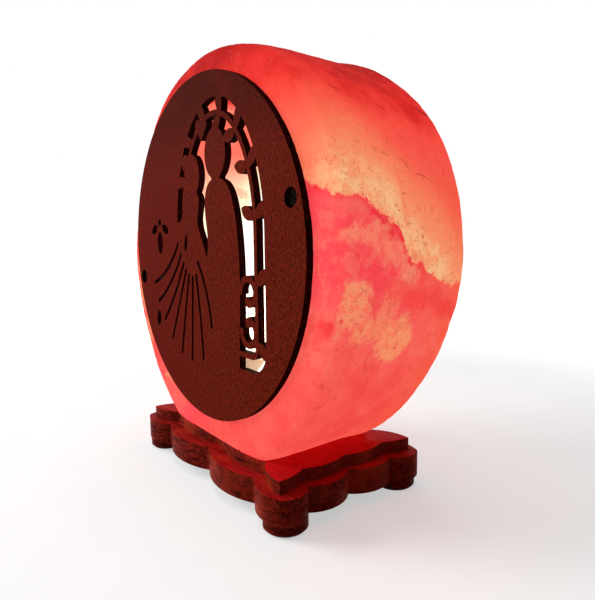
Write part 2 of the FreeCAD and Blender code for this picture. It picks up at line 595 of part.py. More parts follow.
leads = []
for side in (-1, 1):
    foot = V(side * size("lead_foot"), 0, size("stem_top - lead_depth"))
    tip = V(side * size("lead_spread"), 0, size("filament_height"))
    rod = doc.addObject("Part::Feature", f"lead_{'right' if side > 0 else 'left'}")
    rod.Shape = Part.makeCylinder(size("lead_radius"), (tip - foot).Length, foot, tip - foot)
    leads.append(rod)
parts["bulb_leads"] = fuse("bulb_leads", *leads)

filament = doc.addObject("Part::Feature", "bulb_filament")
left_end, right_end = (V(side * size("lead_spread"), 0, size("filament_height")) for side in (-1, 1))
crown = V(0, 0, size("filament_height + filament_rise"))
path = Part.Wire([Part.Arc(left_end, crown, right_end).toShape()])
start = Part.Wire([Part.Circle(left_end, path.Edges[0].tangentAt(path.Edges[0].FirstParameter),
                               size("filament_radius")).toShape()])
filament.Shape = path.makePipeShell([start], True, False)
filament.Label = "bulb_filament"
parts["bulb_filament"] = filament


# ---------------------------------------------------------------- front panel
# The panel's drawing is laid out in millimetres from the panel's middle: across, up.
def spot(across, up):
    return V(across, 0, up)


def region(*strokes):
    """A face bounded by strokes: two points make a line, more make a smooth curve."""
    edges = []
    for stroke in strokes:
        points = [spot(*point) for point in stroke]
        if len(points) == 2:
            edges.append(Part.LineSegment(*points).toShape())
        else:
            curve = Part.BSplineCurve()
            curve.interpolate(points)
            edges.append(curve.toShape())
    return Part.Face(Part.Wire(edges))


def oval(across, up, half_width, half_height):
    if half_height == half_width:
        curve = Part.Circle(spot(across, up), V(0, 1, 0), half_width)
    elif half_height > half_width:
        curve = Part.Ellipse(spot(across, up + half_height), spot(across + half_width, up), spot(across, up))
    else:
        curve = Part.Ellipse(spot(across + half_width, up), spot(across, up + half_height), spot(across, up))
    return Part.Face(Part.Wire([curve.toShape()]))


def leaf(across, up, length, width, degrees, bow=0):
    """A pointed leaf of two arcs, from its foot in the given direction; a bow curves it."""
    heading = V(math.cos(math.radians(degrees)), 0, math.sin(math.radians(degrees)))
    sideways = V(-heading.z, 0, heading.x)
    foot = spot(across, up)
    tip = foot + heading * length
    belly = foot + heading * (0.48 * length) + sideways * bow
    return Part.Face(Part.Wire([Part.Arc(foot, belly + sideways * (width / 2), tip).toShape(),
                                Part.Arc(tip, belly - sideways * (width / 2), foot).toShape()]))


def pleat(foot, bend, tip, width):
    """A round-ended slot of even width along the arc through three points."""
    foot, bend, tip = spot(*foot), spot(*bend), spot(*tip)
    middle = Part.Arc(foot, bend, tip).toShape().Curve.Center
    radius, half = (foot - middle).Length, width / 2

    def beside(point, reach):
        return middle + (point - middle) * (1 + reach / radius)

    def beyond(end):
        onward = (end - middle).cross(V(0, 1, 0)).normalize() * half
        return end + onward if onward.dot(end - bend) > 0 else end - onward

    return Part.Face(Part.Wire([
        Part.Arc(beside(foot, half), beside(bend, half), beside(tip, half)).toShape(),
        Part.Arc(beside(tip, half), beyond(tip), beside(tip, -half)).toShape(),
        Part.Arc(beside(tip, -half), beside(bend, -half), beside(foot, -half)).toShape(),
        Part.Arc(beside(foot, -half), beyond(foot), beside(foot, half)).toShape()]))


def curl(across, up, radius, degrees, hand):
    """A scroll: most of a ring, open in the given direction, with a ball at one of its ends."""
    ring = oval(across, up, radius, radius).cut(oval(across, up, radius - 2.6, radius - 2.6))
    gap = [spot(across + 3 * radius * math.cos(math.radians(degrees + turn)),
                up + 3 * radius * math.sin(math.radians(degrees + turn))) for turn in (-30 * hand, 45 * hand)]
    end = math.radians(degrees + 45 * hand)
    ball = oval(across + (radius - 2.4) * math.cos(end), up + (radius - 2.4) * math.sin(end), 2.1, 2.1)
    return [ring.cut(Part.Face(Part.makePolygon([spot(across, up)] + gap + [spot(across, up)]))), ball]


def arch(inset):
    """The window: half an oval over straight sides, drawn in by the inset."""
    middle, spring = size("window_middle"), size("window_spring")
    reach, top = size("window_half_width") - inset, spring + size("window_rise") - inset
    right, left, low = middle + reach, middle - reach, size("window_floor") + inset
    bend = max(size("window_corner") - inset, 1)
    crown = Part.Ellipse(spot(middle, top), spot(right, spring), spot(middle, spring))
    arc = crown.toShape(-math.pi / 2, math.pi / 2)
    ends = sorted((vertex.Point for vertex in arc.Vertexes), key=lambda point: point.x)
    corner_mid = spot(right - bend * (1 - math.sqrt(0.5)), low + bend * (1 - math.sqrt(0.5)))
    edges = [arc,
             Part.LineSegment(ends[1], spot(right, low + bend)).toShape(),
             Part.Arc(spot(right, low + bend), corner_mid, spot(right - bend, low)).toShape(),
             Part.LineSegment(spot(right - bend, low), spot(left, low)).toShape(),
             Part.LineSegment(spot(left, low), ends[0]).toShape()]
    return Part.Face(Part.Wire(Part.__sortEdges__(edges)))


def arch_point(inset, degrees):
    """A point on the arch's oval at an angle about its middle, and the outward direction there."""
    around = math.radians(degrees)
    reach, rise = size("window_half_width") - inset, size("window_rise") - inset
    outward = math.degrees(math.atan2(math.sin(around) / rise, math.cos(around) / reach))
    return (size("window_middle") + reach * math.cos(around), size("window_spring") + rise * math.sin(around),
            outward)


def groom():
    body = region([(10.5, 30), (6.3, 27), (4.2, 19), (5.6, 9), (4.6, -3)], [(4.6, -3), (4.6, -52)],
                  [(4.6, -52), (30.5, -52)],
                  [(30.5, -52), (31.2, -30), (32, -8), (31, 6), (28.8, 17), (24.5, 26), (18, 30)],
                  [(18, 30), (10.5, 30)])
    neck = region([(10.6, 34), (10.6, 28)], [(10.6, 28), (17.6, 28)], [(17.6, 28), (17.6, 34)],
                  [(17.6, 34), (10.6, 34)])
    return [body, neck, oval(14, 40.5, 8.8, 10.4)]


def bride():
    front = region([(-6, 27), (-1.2, 22), (-3.2, 14), (0.6, 5), (4.6, -3)], [(4.6, -3), (4.6, -52)],
                   [(4.6, -52), (-30, -52)], [(-30, -52), (-30, 6)],
                   [(-30, 6), (-22, 11), (-17.5, 18), (-15.2, 26), (-13.5, 33), (-9, 41)],
                   [(-9, 41), (-6, 27)])
    return [front, oval(-7.4, 33.4, 7.2, 9), oval(-13.4, 39.4, 3.8, 3.6)]


def vine():
    """A stem that follows the window's border, with leaves out to the border and in to the light."""
    stem = arch(5.2).cut(arch(7.4)).cut(Part.Face(Part.makePolygon(
        [spot(-40, -60), spot(24, -60), spot(24, -20), spot(-40, 40), spot(-40, -60)])))
    shapes = [stem]
    for degrees in range(6, 176, 24):
        across, up, outward = arch_point(7.0, degrees)
        shapes.append(leaf(across, up, 12, 5.0, outward + 28))
        if degrees < 90:
            shapes.append(leaf(across, up, 9.5, 5.2, outward + 150))
    for up, degrees, hand in ((-15.2, 225, 1), (-31.4, 135, -1)):
        shapes += curl(37.6, up, 6.4, degrees, hand)
        shapes.append(leaf(43.5, up + 3 * hand, 11, 5.0, 35 * hand))
    return shapes


def heart(across, up, width):
    """A plain heart hung by its lobes from the stem above."""
    bow = width / 4
    lobes = [oval(across + side * bow, up, bow + 0.2, bow + 0.2) for side in (-1, 1)]
    shoulders = [spot(across + side * 1.93 * bow, up - 0.35 * bow) for side in (-1, 1)]
    point = Part.makePolygon(shoulders + [spot(across, up - 2.6 * bow), shoulders[0]])
    return lobes + [Part.Face(point)]


def gown_slots():
    """The gown's pleats flare from the waist; a flower, an arm's gap and a drop stand beside them."""
    slots = [pleat(*stroke, 1.8) for stroke in (
        ((-24, 3), (-35, -8), (-53, -17)), ((-21, -2), (-32.5, -15), (-49, -26.5)),
        ((-18.5, -6), (-28.5, -20.5), (-42, -35)), ((-16, -9), (-24, -25), (-33.5, -43.5)),
        ((-13, -11), (-18, -29), (-23, -49)), ((-9.5, -12), (-10.8, -31), (-12.6, -51)),
        ((-6, -11), (-3, -29), (-1, -48.5)), ((-4, -5), (3, -17), (7.5, -33)))]
    slots.append(leaf(-14.5, 8, 9, 3.2, 258))
    slots.append(leaf(-48.5, -31, 9, 5, 255))
    slots += [leaf(-44.5, 9.5, 12, 6.4, 268), leaf(-47, 12, 8.5, 4.2, 205), leaf(-42, 12, 8.5, 4.2, 335),
              oval(-44.5, 13.6, 1.7, 1.7)]
    return slots


window = arch(0)
wood = groom() + bride() + vine() + heart(2.6, 53.5, 10)
smallest_opening = 1.5      # square millimetres: the laser leaves smaller scraps uncut
daylight = [face for face in window.cut(wood[0].multiFuse(wood[1:])).Faces if face.Area > smallest_opening]
through = V(0, size("panel_thickness + 2*over_cut"), 0)
cutouts = doc.addObject("Part::Feature", "panel_cutouts")
cutouts.Shape = Part.makeCompound([face.extrude(through) for face in daylight + gown_slots()])
cutouts.Placement = place(0, panel_face - size("over_cut"), size(cavity_middle))

panel_front = "-1*drum_front - panel_thickness"
disc = cylinder("panel_disc", "panel_radius", "panel_thickness", ("0", panel_front, cavity_middle), LAY_BACK)
panel_tools = [cutouts]
for angle in panel_screw_angles:
    panel_tools += [screw_bore("panel_hole_" + angle, angle, "panel_hole", panel_front + " - over_cut",
                               "panel_thickness + 2*over_cut"),
                    screw_bore("panel_sink_" + angle, angle, "panel_sink", panel_front + " - over_cut",
                               "over_cut + head_recess + panel_head_depth")]
parts["front_panel"] = cut("front_panel", disc, *panel_tools)


# ---------------------------------------------------------------- checks and files
doc.recompute()
for item in doc.Objects:
    if {"Invalid", "Error"} & set(item.State):
        raise RuntimeError(f"{item.Label} failed: {item.State}")
os.makedirs("parts", exist_ok=True)
for name, item in parts.items():
    item.Label = name
    shape = item.Shape
    if shape.isNull() or not shape.isValid() or not shape.Solids:
        raise RuntimeError(f"{name} has no valid solid")
    shape.exportStep(f"parts/{name}.step")
    print(f"{name}: {len(shape.Solids)} solids, {shape.Volume / 1000:.2f} cm3")
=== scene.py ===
"""A salt drum lamp with a pierced wooden panel, dressed in the order in which it is put together.

Metres, +Z up. The table is at z = 0, the panel faces -Y and the drum's axis runs along Y.
"""

import math

import bmesh
import bpy
from mathutils import Matrix, Vector


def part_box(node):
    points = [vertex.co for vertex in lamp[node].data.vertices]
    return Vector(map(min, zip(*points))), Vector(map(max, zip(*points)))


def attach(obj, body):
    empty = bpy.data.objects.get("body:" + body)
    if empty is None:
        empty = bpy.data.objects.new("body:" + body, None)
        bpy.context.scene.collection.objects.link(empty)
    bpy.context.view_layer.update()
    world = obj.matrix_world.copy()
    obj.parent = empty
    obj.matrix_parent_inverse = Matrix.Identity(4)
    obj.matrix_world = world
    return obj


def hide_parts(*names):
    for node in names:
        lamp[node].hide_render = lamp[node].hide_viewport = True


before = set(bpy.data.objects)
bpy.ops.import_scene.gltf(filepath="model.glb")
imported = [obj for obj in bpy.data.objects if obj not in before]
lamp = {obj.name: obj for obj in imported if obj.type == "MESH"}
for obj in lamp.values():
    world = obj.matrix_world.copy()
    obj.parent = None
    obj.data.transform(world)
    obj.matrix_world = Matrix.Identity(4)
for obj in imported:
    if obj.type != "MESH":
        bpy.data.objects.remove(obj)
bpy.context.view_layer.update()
MM = 0.001


# ================================================================ the camera
# It stands close, to the right of the panel and a little above the drum's middle, as the
# panel's ellipse and the cusps of the base show.
turned_by, raised_by, tipped_by = map(math.radians, (52.87, 6.83, -0.55))
back = Vector((math.sin(turned_by) * math.cos(raised_by),
               -math.cos(turned_by) * math.cos(raised_by), math.sin(raised_by)))
level = Vector((math.cos(turned_by), math.sin(turned_by), 0))
upright = back.cross(level)
across = level * math.cos(tipped_by) + upright * math.sin(tipped_by)
upwards = upright * math.cos(tipped_by) - level * math.sin(tipped_by)
camera = bpy.data.objects.new("camera", bpy.data.cameras.new("camera"))
bpy.context.collection.objects.link(camera)
camera.matrix_world = (Matrix.Translation(Vector((216.6, -146.4, 112.9)) * MM)
                       @ Matrix((across, upwards, back)).transposed().to_4x4())
camera.data.sensor_width = 36
camera.data.lens = 32.454
camera.data.clip_start = 0.01
bpy.context.scene.camera = camera


# ================================================================ base board
# One board of hardwood in a scalloped outline, with a routed step all round. It is stained
# dark red-brown and waxed, and its edges are eased with sandpaper.
def node(tree, kind, inputs=None, output=0, **settings):
    """Adds a node to a tree; an input takes another node's socket as a link, or a plain value."""
    made = tree.nodes.new(kind)
    for name, value in settings.items():
        setattr(made, name, value)
    for key, value in (inputs or {}).items():
        if isinstance(value, bpy.types.NodeSocket):
            tree.links.new(value, made.inputs[key])
        else:
            made.inputs[key].default_value = value
    return made.outputs[output]


def sums(tree, operation, first, second=0.0, clamped=False):
    """A sum, a product or other arithmetic on one or two values."""
    return node(tree, "ShaderNodeMath", {0: first, 1: second}, operation=operation, use_clamp=clamped)


def product(tree, *factors):
    """All the factors multiplied."""
    result = factors[0]
    for factor in factors[1:]:
        result = sums(tree, "MULTIPLY", result, factor)
    return result


def parts(tree, vector):
    """The x, y and z of a vector."""
    split = tree.nodes.new("ShaderNodeSeparateXYZ")
    tree.links.new(vector, split.inputs[0])
    return split.outputs[:]


def slide(tree, value, low, high, start=0.0, end=1.0):
    """A smooth rise from start, where the value is low, to end, where it is high."""
    return node(tree, "ShaderNodeMapRange", {"Value": value, "From Min": low, "From Max": high,
                                             "To Min": start, "To Max": end},
                interpolation_type="SMOOTHSTEP")


def colour(red, green, blue):
    """A colour as a screen shows it, 0 to 255, made linear."""
    channels = [part / 255 for part in (red, green, blue)]
    return [part / 12.92 if part <= 0.04045 else ((part + 0.055) / 1.055) ** 2.4
            for part in channels] + [1.0]


def laid_over(tree, amount, under, over):
    """One colour over another, by an amount from 0 to 1."""
    return node(tree, "ShaderNodeMix", {0: amount, 6: under, 7: over}, output=2, data_type="RGBA")


def grains(tree, place, scale, detail=4.0, stretch=None, roughness=0.55):
    """Noise from 0 to 1 on a place, with its grain count per metre."""
    if stretch:
        place = node(tree, "ShaderNodeVectorMath", {0: place, 1: stretch}, operation="MULTIPLY")
    return node(tree, "ShaderNodeTexNoise", {"Vector": place, "Scale": scale, "Detail": detail,
                                             "Roughness": roughness})


def bumped(tree, shader, height, distance, strength=1.0):
    """Gives a finish fine relief that follows a height."""
    raised = node(tree, "ShaderNodeBump", {"Height": height, "Distance": distance,
                                           "Strength": strength})
    tree.links.new(raised, shader.inputs["Normal"])


def new_finish(name, **constants):
    """An empty finish: its material, tree and shader, and the place on the piece that it colours."""
    made = bpy.data.materials.new(name)
    made.use_nodes = True
    shader = made.node_tree.nodes["Principled BSDF"]
    for key, value in constants.items():
        shader.inputs[key.replace("_", " ")].default_value = value
    place = node(made.node_tree, "ShaderNodeTexCoord", output="Object")
    return made, made.node_tree, shader, place


def painted(tree, shader, socket, source):
    """Feeds a socket of a finish's shader."""
    tree.links.new(source, shader.inputs[socket])


def stained_wood(name, dark, mid, light, glow=None, offset=(0, 0, 0)):
    """Stained hardwood, its grain along X, with dark streaks and pores; a glow paints red light on its
    top.
    """
    made, tree, shader, place = new_finish(name, Specular_IOR_Level=0.02)
    place = node(tree, "ShaderNodeVectorMath", {0: place, 1: offset}, operation="ADD")
    bent = grains(tree, place, 28, 2, (1, 2.5, 2.5))
    wave = node(tree, "ShaderNodeVectorMath", {0: place, 1: sums(tree, "MULTIPLY", bent, 0.0035)},
                operation="ADD")
    streak = grains(tree, wave, 1, 5, (70, 900, 900))
    pores = grains(tree, wave, 1, 2, (160, 2600, 2600), 0.7)
    cloud = grains(tree, place, 55, 3)
    body = laid_over(tree, slide(tree, streak, 0.34, 0.66), dark, mid)
    body = laid_over(tree, sums(tree, "MULTIPLY", slide(tree, cloud, 0.45, 0.7), 0.7), body, light)
    # painted light: the salt's red glow laid into the colour of the upward faces, fullest on the upper
    # tier and to the east
    if glow:
        upward = parts(tree, node(tree, "ShaderNodeTexCoord", output="Normal"))[2]
        east, _, height = parts(tree, place)
        lit = product(tree, slide(tree, upward, 0.35, 0.9), slide(tree, east, -0.03, 0.03, 0.5, 1.0),
                      slide(tree, height, 0.017, 0.020, 0.5, 1.0),
                      slide(tree, streak, 0.2, 0.6, 0.65, 1.0))
        body = laid_over(tree, lit, body, glow)
    body = laid_over(tree, slide(tree, pores, 0.6, 0.72, 0, 0.55), body, dark)
    painted(tree, shader, "Base Color", body)
    painted(tree, shader, "Roughness", slide(tree, streak, 0.3, 0.7, 0.55, 0.4))
    bumped(tree, shader, sums(tree, "SUBTRACT", streak, slide(tree, pores, 0.58, 0.72)), 0.00018, 0.6)
    return made


def merged_copy(source):
    """A CAD node's shape as one closed mesh, to work on."""
    shape = bmesh.new()
    shape.from_mesh(lamp[source].data)
    bmesh.ops.remove_doubles(shape, verts=shape.verts, dist=0.5e-5)
    bmesh.ops.dissolve_limit(shape, angle_limit=math.radians(0.2), verts=shape.verts,
                             edges=shape.edges)
    return shape


def as_piece(name, shape, finish, smooth=40):
    """A finished mesh as an object at the origin; faces that meet under the angle shade smooth."""
    mesh = bpy.data.meshes.new(name)
    shape.to_mesh(mesh)
    shape.free()
    piece = bpy.data.objects.new(name, mesh)
    bpy.context.collection.objects.link(piece)
    mesh.materials.append(finish)
    mesh.shade_smooth()
    mesh.set_sharp_from_angle(angle=math.radians(smooth))
    return piece


# the last colour is the salt's red glow, painted on the board's top as light
board_wood = stained_wood("board_wood", colour(64, 8, 4), colour(134, 32, 16), colour(160, 48, 26),
                          colour(188, 18, 26))
board = merged_copy("base_board")
tier_levels = [edge * MM for edge in (5, 15.9, 21.3)]
POCKET_REACH, GROOVE_REACH, GROOVE_TOP = 22, 44, 10
eased = [edge for edge in board.edges
         if len(edge.link_faces) == 2 and edge.calc_face_angle() > math.radians(50)
         and any(all(abs(end.co.z - level) < 2e-5 for end in edge.verts) for level in tier_levels)
         and all(math.hypot(end.co.x, end.co.y) > POCKET_REACH * MM for end in edge.verts)
         and all(end.co.length > GROOVE_REACH * MM or end.co.z > GROOVE_TOP * MM
                 for end in edge.verts)]
bmesh.ops.bevel(board, geom=eased, offset=0.9 * MM, segments=3, profile=0.5, affect="EDGES",
                clamp_overlap=True)
board_piece = as_piece("scalloped_board", board, board_wood)
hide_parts("base_board")
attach(board_piece, "lamp")


# ================================================================ feet
# Four turned buttons of the board's wood, stained a little darker. Each is cut from another
# stretch of the wood, and one screw holds it up under its corner of the board.
for number, foot in enumerate(("foot_front_left", "foot_front_right", "foot_back_left",
                               "foot_back_right")):
    foot_wood = stained_wood(f"{foot}_wood", colour(56, 10, 6), colour(124, 28, 15),
                             colour(146, 42, 24), offset=(0.05 * number, 0.02 * number, 0.013))
    lamp[foot].material_slots[0].material = foot_wood


# ================================================================ salt drum
# A block of pink rock salt cut to a rough drum, ground flat where it stands, and bored out
# from the front for the bulb. It glows, and pale and deep veins run through it.
DRUM_MIDDLE = 101.1
FLAT = 21.3
CAVITY_MIDDLE = 106.3
CAVITY_RADIUS = 61
LAMP_HOLE = 19
DRILL_FROM, DRILL_TO = 18, 58
BULB_MIDDLE = 70
ROCK_REACH = 91
FACE_REACH = 80.5
FACE_RINGS = 8
FACET_STEPS = 36
rock_corners = ((91.8, 0), (81.7, 46.7), (46.8, 79.8), (0.7, 90.9), (-45, 79.2), (-76, 44.3),
                (-92, 0), (-78, -45.5), (-45, -79.2), (0.7, -92.6), (45.2, -77.1), (76.9, -44))


def smooth_run(before, start, end, after, count):
    """The points of a smooth curve from start up to end, led by the corners beside them."""
    before, start, end, after = (Vector(corner) for corner in (before, start, end, after))
    for part in range(count):
        t = part / count
        yield ((2 * start) + (end - before) * t + (2 * before - 5 * start + 4 * end - after) * t * t
               + (3 * start - before - 3 * end + after) * t ** 3) / 2


def smooth_line(corners, step):
    """Points about a step apart on a smooth curve through the corners."""
    points = []
    for index in range(len(corners) - 1):
        near = [corners[min(max(index + shift, 0), len(corners) - 1)] for shift in (-1, 0, 1, 2)]
        count = max(1, round((Vector(near[2]) - Vector(near[1])).length / step))
        points += smooth_run(*near, count)
    return points + [Vector(corners[-1])]


# the uneven outline that the drum was cut to, once round
rock = []
for index in range(len(rock_corners)):
    rock += smooth_run(*(rock_corners[(index + shift) % len(rock_corners)] for shift in (-1, 0, 1, 2)),
                       FACET_STEPS)
# depth along the axis and reach, from the middle of the back round to the cavity's mouth
outside = smooth_line([(39.2, 0.5), (39.2, 40), (39.2, 72), (38.6, 77), (36, 81.6), (32.5, 85.4),
                       (28.5, 89), (25.6, 91.2), (22, 91.5), (10.6, 90.8), (-8, 91), (-20, 90.9),
                       (-27, 90.4), (-30.2, 89.3), (-31.8, 85.6), (-32.3, 80.7), (-32.3, 72),
                       (-32.3, 61)], 1.3)
inside = smooth_line([(-32.3, 61), (-20, 61.2), (-6, 60.9), (4, 61), (8, 60.6), (13.2, 58.3),
                      (15.4, 53), (15.7, 46), (15.7, 20), (15.7, 0.5)], 1.9)
block = bmesh.new()
rings = []
for depth, reach in outside + inside[1:]:
    hollow = len(rings) >= len(outside)
    on_face = min(max((reach - CAVITY_RADIUS) / (FACE_REACH - CAVITY_RADIUS), 0), 1)
    rocky = 0 if hollow else 1 if depth > -31 else on_face
    ring = []
    for corner in rock:
        rough = corner * (reach / ROCK_REACH)
        smooth = corner.normalized() * reach + Vector((0, CAVITY_MIDDLE - DRUM_MIDDLE))
        east, rise = smooth.lerp(rough, rocky)
        ring.append(block.verts.new((east * MM, depth * MM, (DRUM_MIDDLE + rise) * MM)))
    rings.append(ring)
for first, second in zip(rings, rings[1:]):
    for step in range(len(rock)):
        following = (step + 1) % len(rock)
        block.faces.new((first[step], first[following], second[following], second[step]))
block.faces.new(reversed(rings[0]))
block.faces.new(rings[-1])
bmesh.ops.recalc_face_normals(block, faces=block.faces)


def weathering():
    """Geometry nodes that give the cut salt its lumps and dissolved pits."""
    tree = bpy.data.node_groups.new("weathering", "GeometryNodeTree")
    for name, kind in (("Salt", "Geometry"), ("Lump Size", "Float"), ("Lump Height", "Float"),
                       ("Grain Size", "Float"), ("Grain Height", "Float"), ("Pits per m2", "Float"),
                       ("Pit Radius", "Float"), ("Pit Depth", "Float"), ("Seed", "Int"),
                       ("Finish", "Material")):
        tree.interface.new_socket(name, in_out="INPUT", socket_type=f"NodeSocket{kind}")
    tree.interface.new_socket("Salt", in_out="OUTPUT", socket_type="NodeSocketGeometry")
    given = tree.nodes.new("NodeGroupInput").outputs
    place = node(tree, "GeometryNodeInputPosition")
    facing = node(tree, "GeometryNodeInputNormal")

    def swell(size, height, detail):
        """Noise about zero, of a size, scaled to a height."""
        ripple = node(tree, "ShaderNodeTexNoise", {
            "Vector": place, "Scale": sums(tree, "DIVIDE", 1.0, given[size]), "Detail": detail})
        return sums(tree, "MULTIPLY", sums(tree, "SUBTRACT", ripple, 0.5), given[height])

    seeds = node(tree, "GeometryNodeDistributePointsOnFaces",
                 {"Mesh": given["Salt"], "Density": given["Pits per m2"], "Seed": given["Seed"]})
    nearest = node(tree, "GeometryNodeProximity", {0: seeds}, output="Distance",
                   target_element="POINTS")
    wobble = node(tree, "ShaderNodeTexNoise", {"Vector": place, "Scale": 900.0, "Detail": 2.0})
    reach = sums(tree, "MULTIPLY", given["Pit Radius"], sums(tree, "ADD", wobble, 0.4))
    dip = node(tree, "ShaderNodeMapRange", {"Value": nearest, "From Min": 0.0, "From Max": reach,
                                            "To Min": given["Pit Depth"], "To Max": 0.0},
               interpolation_type="SMOOTHSTEP")
    rise = sums(tree, "ADD", swell("Lump Size", "Lump Height", 2.0),
                swell("Grain Size", "Grain Height", 3.0))
    rise = sums(tree, "SUBTRACT", rise, dip)
    weight = node(tree, "GeometryNodeInputNamedAttribute", {"Name": "outside"}, data_type="FLOAT")
    rise = sums(tree, "MULTIPLY", rise, weight)
    shift = node(tree, "ShaderNodeVectorMath", {0: facing, "Scale": rise}, operation="SCALE")
    moved = node(tree, "GeometryNodeSetPosition", {"Geometry": given["Salt"], "Offset": shift})
    solid = node(tree, "GeometryNodeRealizeInstances", {"Geometry": moved})
    done = node(tree, "GeometryNodeSetMaterial", {"Geometry": solid, "Material": given["Finish"]})
    tree.links.new(done, tree.nodes.new("NodeGroupOutput").inputs["Salt"])
    return tree


def grown(name, source, tree, **inputs):
    """Runs geometry nodes on an object and gives what comes out as a plain mesh object."""
    modifier = source.modifiers.new(tree.name, "NODES")
    modifier.node_group = tree
    for item in tree.interface.items_tree:
        key = item.name.replace(" ", "_")
        if item.in_out == "INPUT" and key in inputs:
            modifier[item.identifier] = inputs[key]
    seen = source.evaluated_get(bpy.context.evaluated_depsgraph_get())
    mesh = bpy.data.meshes.new_from_object(seen)
    mesh.name = name
    source.modifiers.remove(modifier)
    bpy.data.objects.remove(source)
    piece = bpy.data.objects.new(name, mesh)
    bpy.context.collection.objects.link(piece)
    return piece


def along(tree, value, corners):
    """A value read off a curve through (value, result) corners, all in millimetres."""
    low, high = corners[0][0], corners[-1][0]
    results = [result for place, result in corners]
    least, most = min(results), max(results)
    curve = tree.nodes.new("ShaderNodeFloatCurve")
    line = curve.mapping.curves[0]
    while len(line.points) < len(corners):
        line.points.new(0.5, 0.5)
    for point, (place, result) in zip(line.points, corners):
        point.location = ((place - low) / (high - low), (result - least) / (most - least))
    curve.mapping.update()
    spread = node(tree, "ShaderNodeMapRange", {"Value": value, "From Min": low * MM,
                                               "From Max": high * MM})
    tree.links.new(spread, curve.inputs["Value"])
    return node(tree, "ShaderNodeMapRange", {"Value": curve.outputs[0], "To Min": least * MM,
                                             "To Max": most * MM})


def from_middle(tree, across, up):
    """The distance of a place from an axis, by its distances across and up from it."""
    return sums(tree, "SQRT", sums(tree, "ADD", product(tree, up, up), product(tree, across, across)))


def over(tree, tint, shade, *amounts):
    """A shade, 0 to 255, laid over the tint by the product of the amounts."""
    return laid_over(tree, product(tree, *amounts), tint, colour(*shade))


def rolled_out(tree, place):
    """The drum's skin laid flat: depth, run on over the two faces, and height along the arc."""
    east, depth, height = parts(tree, place)
    rise = sums(tree, "SUBTRACT", height, DRUM_MIDDLE * MM)
    reach = from_middle(tree, east, rise)
    fold = sums(tree, "MAXIMUM", sums(tree, "SUBTRACT", ROCK_REACH * MM, reach), 0.0)
    on_back, on_front = slide(tree, depth, 0.030, 0.036), slide(tree, depth, -0.0295, -0.0318)
    fold = product(tree, fold, sums(tree, "SUBTRACT", on_back, on_front))
    turn = sums(tree, "MULTIPLY", rise, 1 / (ROCK_REACH * MM))
    turn = sums(tree, "MAXIMUM", sums(tree, "MINIMUM", turn, 1.0), -1.0)
    turn = sums(tree, "MULTIPLY", sums(tree, "ARCSINE", turn), ROCK_REACH * MM)
    return node(tree, "ShaderNodeCombineXYZ", {0: sums(tree, "ADD", depth, fold), 1: turn})


def torn(tree, place, chart, size, reach, roughness=0.65):
    """The laid-out skin, its places pushed about by noise of a size, by up to a reach."""
    push = node(tree, "ShaderNodeTexNoise", {"Vector": place, "Scale": 1 / (size * MM), "Detail": 6.0,
                                             "Roughness": roughness}, output="Color")
    push = node(tree, "ShaderNodeVectorMath", {0: push, 1: (0.5, 0.5, 0.5)}, operation="SUBTRACT")
    return node(tree, "ShaderNodeVectorMath", {0: push, 1: [2 * reach * MM] * 3, 2: chart},
                operation="MULTIPLY_ADD")


def patch(tree, where, middle, reach, lean, soft=0.5):
    """A patch on the laid-out skin: middle and reach in millimetres, lean in degrees."""
    near = node(tree, "ShaderNodeMapping", {
        "Vector": where, "Location": (middle[0] * MM, middle[1] * MM, 0),
        "Rotation": (0, 0, math.radians(lean)), "Scale": (reach[0] * MM, reach[1] * MM, 1)},
        vector_type="TEXTURE")
    gap = node(tree, "ShaderNodeVectorMath", {0: near}, output="Value", operation="LENGTH")
    return slide(tree, gap, 1 - soft, 1 + soft, 1, 0)


def coral(tree, place, ragged, cloud, top):
    """The whole block: coral, orange low at the back, red and deep red towards the top as painted
    shade.
    """
    depth, height = parts(tree, place)[1:]
    tint = laid_over(tree, slide(tree, cloud, 0.34, 0.68), colour(250, 76, 72), colour(255, 98, 90))
    orange = product(tree, slide(tree, parts(tree, ragged)[0], 0.004, 0.03),
                     slide(tree, height, 0.165, 0.11))
    tint = over(tree, tint, (255, 96, 66), orange, 0.8)
    # painted shade: deeper and deeper red towards the top, where less of the bulb's light comes through
    # the thick salt
    high = sums(tree, "ADD", height, sums(tree, "MULTIPLY", depth, 0.25))
    tint = over(tree, tint, (252, 80, 62), slide(tree, high, 0.128, 0.160), 0.75)
    tint = over(tree, tint, (244, 48, 42), slide(tree, top, 0.146, 0.168))
    return over(tree, tint, (204, 14, 16), slide(tree, top, 0.165, 0.190), 0.95)


